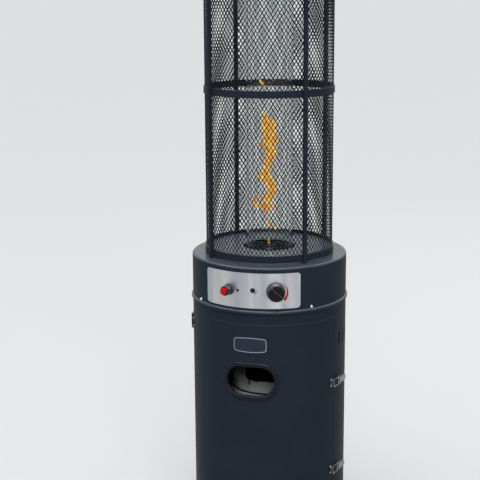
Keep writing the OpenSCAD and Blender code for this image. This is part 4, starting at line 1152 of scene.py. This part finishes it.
def smoothRun(points, rings):
    ends = [points[0]] + points + [points[-1]]
    run = []
    for i in range(len(points) - 1):
        p0, p1, p2, p3 = [Vector(p) for p in ends[i:i + 4]]
        for k in range(rings):
            t = k / rings
            run.append(0.5 * (2 * p1 + (p2 - p0) * t + (2 * p0 - 5 * p1 + 4 * p2 - p3) * t * t
                              + (3 * p1 - p0 - 3 * p2 + p3) * t ** 3))
    return run + [Vector(points[-1])]


def makeFlame(tongues, s):
    face = math.radians(s["face"])
    across = Vector((math.cos(face), math.sin(face), 0))
    away = Vector((-math.sin(face), math.cos(face), 0))
    quick, slow = s["waves"]
    bm = bmesh.new()
    for tongue in tongues:
        run = smoothRun(tongue, s["rings"])
        rows = []
        for i, spot in enumerate(run):
            step = run[min(i + 1, len(run) - 1)] - run[max(i - 1, 0)]
            heading = Vector((step.x, step.y)).normalized()
            side = across * -heading.y + Vector((0, 0, heading.x))
            middle = (across * spot.x + Vector((0, 0, spot.y))) * mm
            flicker = 1 + s["ragged"] * math.sin(i * quick) * math.sin(i * slow + len(tongue))
            half = max(spot.z * flicker, s["thinnest"]) / 2 * mm
            rows.append([bm.verts.new(middle + half * (side * math.cos(a) + away * s["depth"] * math.sin(a)))
                         for a in circleTurns(s["sides"])])
        gridFaces(bm, rows, closeColumns=True)
        bm.faces.new(rows[0])
        bm.faces.new(rows[-1])
    bmesh.ops.recalc_face_normals(bm, faces=bm.faces)
    mesh = meshFrom("flame", bm)
    mesh.materials.append(makeFlameFinish(flameLook))
    smoothFaces(mesh)
    obj = addObject("flame", mesh)
    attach(obj, "heater_body")


makeFlame(flameTongues, flameShape)


# Floor, sky and lamps
daylight = (0.90, 0.95, 1.0)
studio = {"floorSize": 90.0, "floorSides": 96, "floorColour": (0.73, 0.71, 0.68), "speck": 0.985,
          "bounceColour": (0.24, 0.25, 0.24), "skyLight": 0.36, "skyColour": daylight,
          "pale": (0.64, 0.65, 0.66)}
lamps = [
    {"name": "overcast", "kind": "SUN", "spot": (-0.6, -0.8, 6.0), "aim": (0, 0, 0.8), "spread": 75,
     "power": 2.4, "tint": daylight},
    {"name": "frontFill", "kind": "AREA", "spot": (1.6, -4.2, 3.0), "aim": (0, 0, 0.8), "size": 2.6,
     "power": 88, "tint": daylight},
    {"name": "backEdge", "kind": "AREA", "spot": (1.6, 3.4, 3.2), "aim": (0, 0, 1.0), "size": 2.4,
     "power": 12, "tint": (1.0, 1.0, 1.0)},
]


def makeFloor(s):
    bm = bmesh.new()
    bmesh.ops.create_circle(bm, cap_ends=True, radius=s["floorSize"], segments=s["floorSides"])
    mesh = meshFrom("floor", bm)
    material, shader, position = startFinish("floorPaint", Specular_IOR_Level=0.1, Roughness=0.9)
    specks = noise(position, scale=40.0, detail=4.0)
    pale = mixColour(specks, tuple(c * s["speck"] for c in s["floorColour"]), s["floorColour"])
    bounced = addNode(position.id_data, "ShaderNodeLightPath").outputs["Is Diffuse Ray"]
    feed(shader["Base Color"], mixColour(bounced, pale, s["bounceColour"]))
    mesh.materials.append(material)
    floor = addObject("floor", mesh)


def makeSky(s):
    world = bpy.data.worlds.new("studioSky")
    world.use_nodes = True
    tree = world.node_tree
    tree.nodes.clear()
    light, seen = [
        addNode(tree, "ShaderNodeBackground", {"Color": (*colour, 1), "Strength": strength}).outputs[0]
        for colour, strength in ((s["skyColour"], s["skyLight"]), (s["pale"], 1.0))]
    rays = addNode(tree, "ShaderNodeLightPath").outputs
    direct = maths("MAXIMUM", rays["Is Camera Ray"], rays["Is Transmission Ray"])
    shown = maths("MAXIMUM", direct, rays["Is Glossy Ray"])
    mix = addNode(tree, "ShaderNodeMixShader", {"Fac": shown, 1: light, 2: seen})
    addNode(tree, "ShaderNodeOutputWorld", {"Surface": mix.outputs[0]})
    scene.world = world


def makeLamps(rows):
    for row in rows:
        data = bpy.data.lights.new(row["name"], row["kind"])
        data.energy = row["power"]
        data.color = row["tint"]
        if row["kind"] == "SUN":
            data.angle = math.radians(row["spread"])
        else:
            data.size = row["size"]
        lamp = addObject(row["name"], data)
        lamp.location = row["spot"]
        lamp.rotation_euler = (Vector(row["aim"]) - Vector(row["spot"])).to_track_quat("-Z", "Y").to_euler()


makeFloor(studio)
makeSky(studio)
makeLamps(lamps)
print("studio lit")
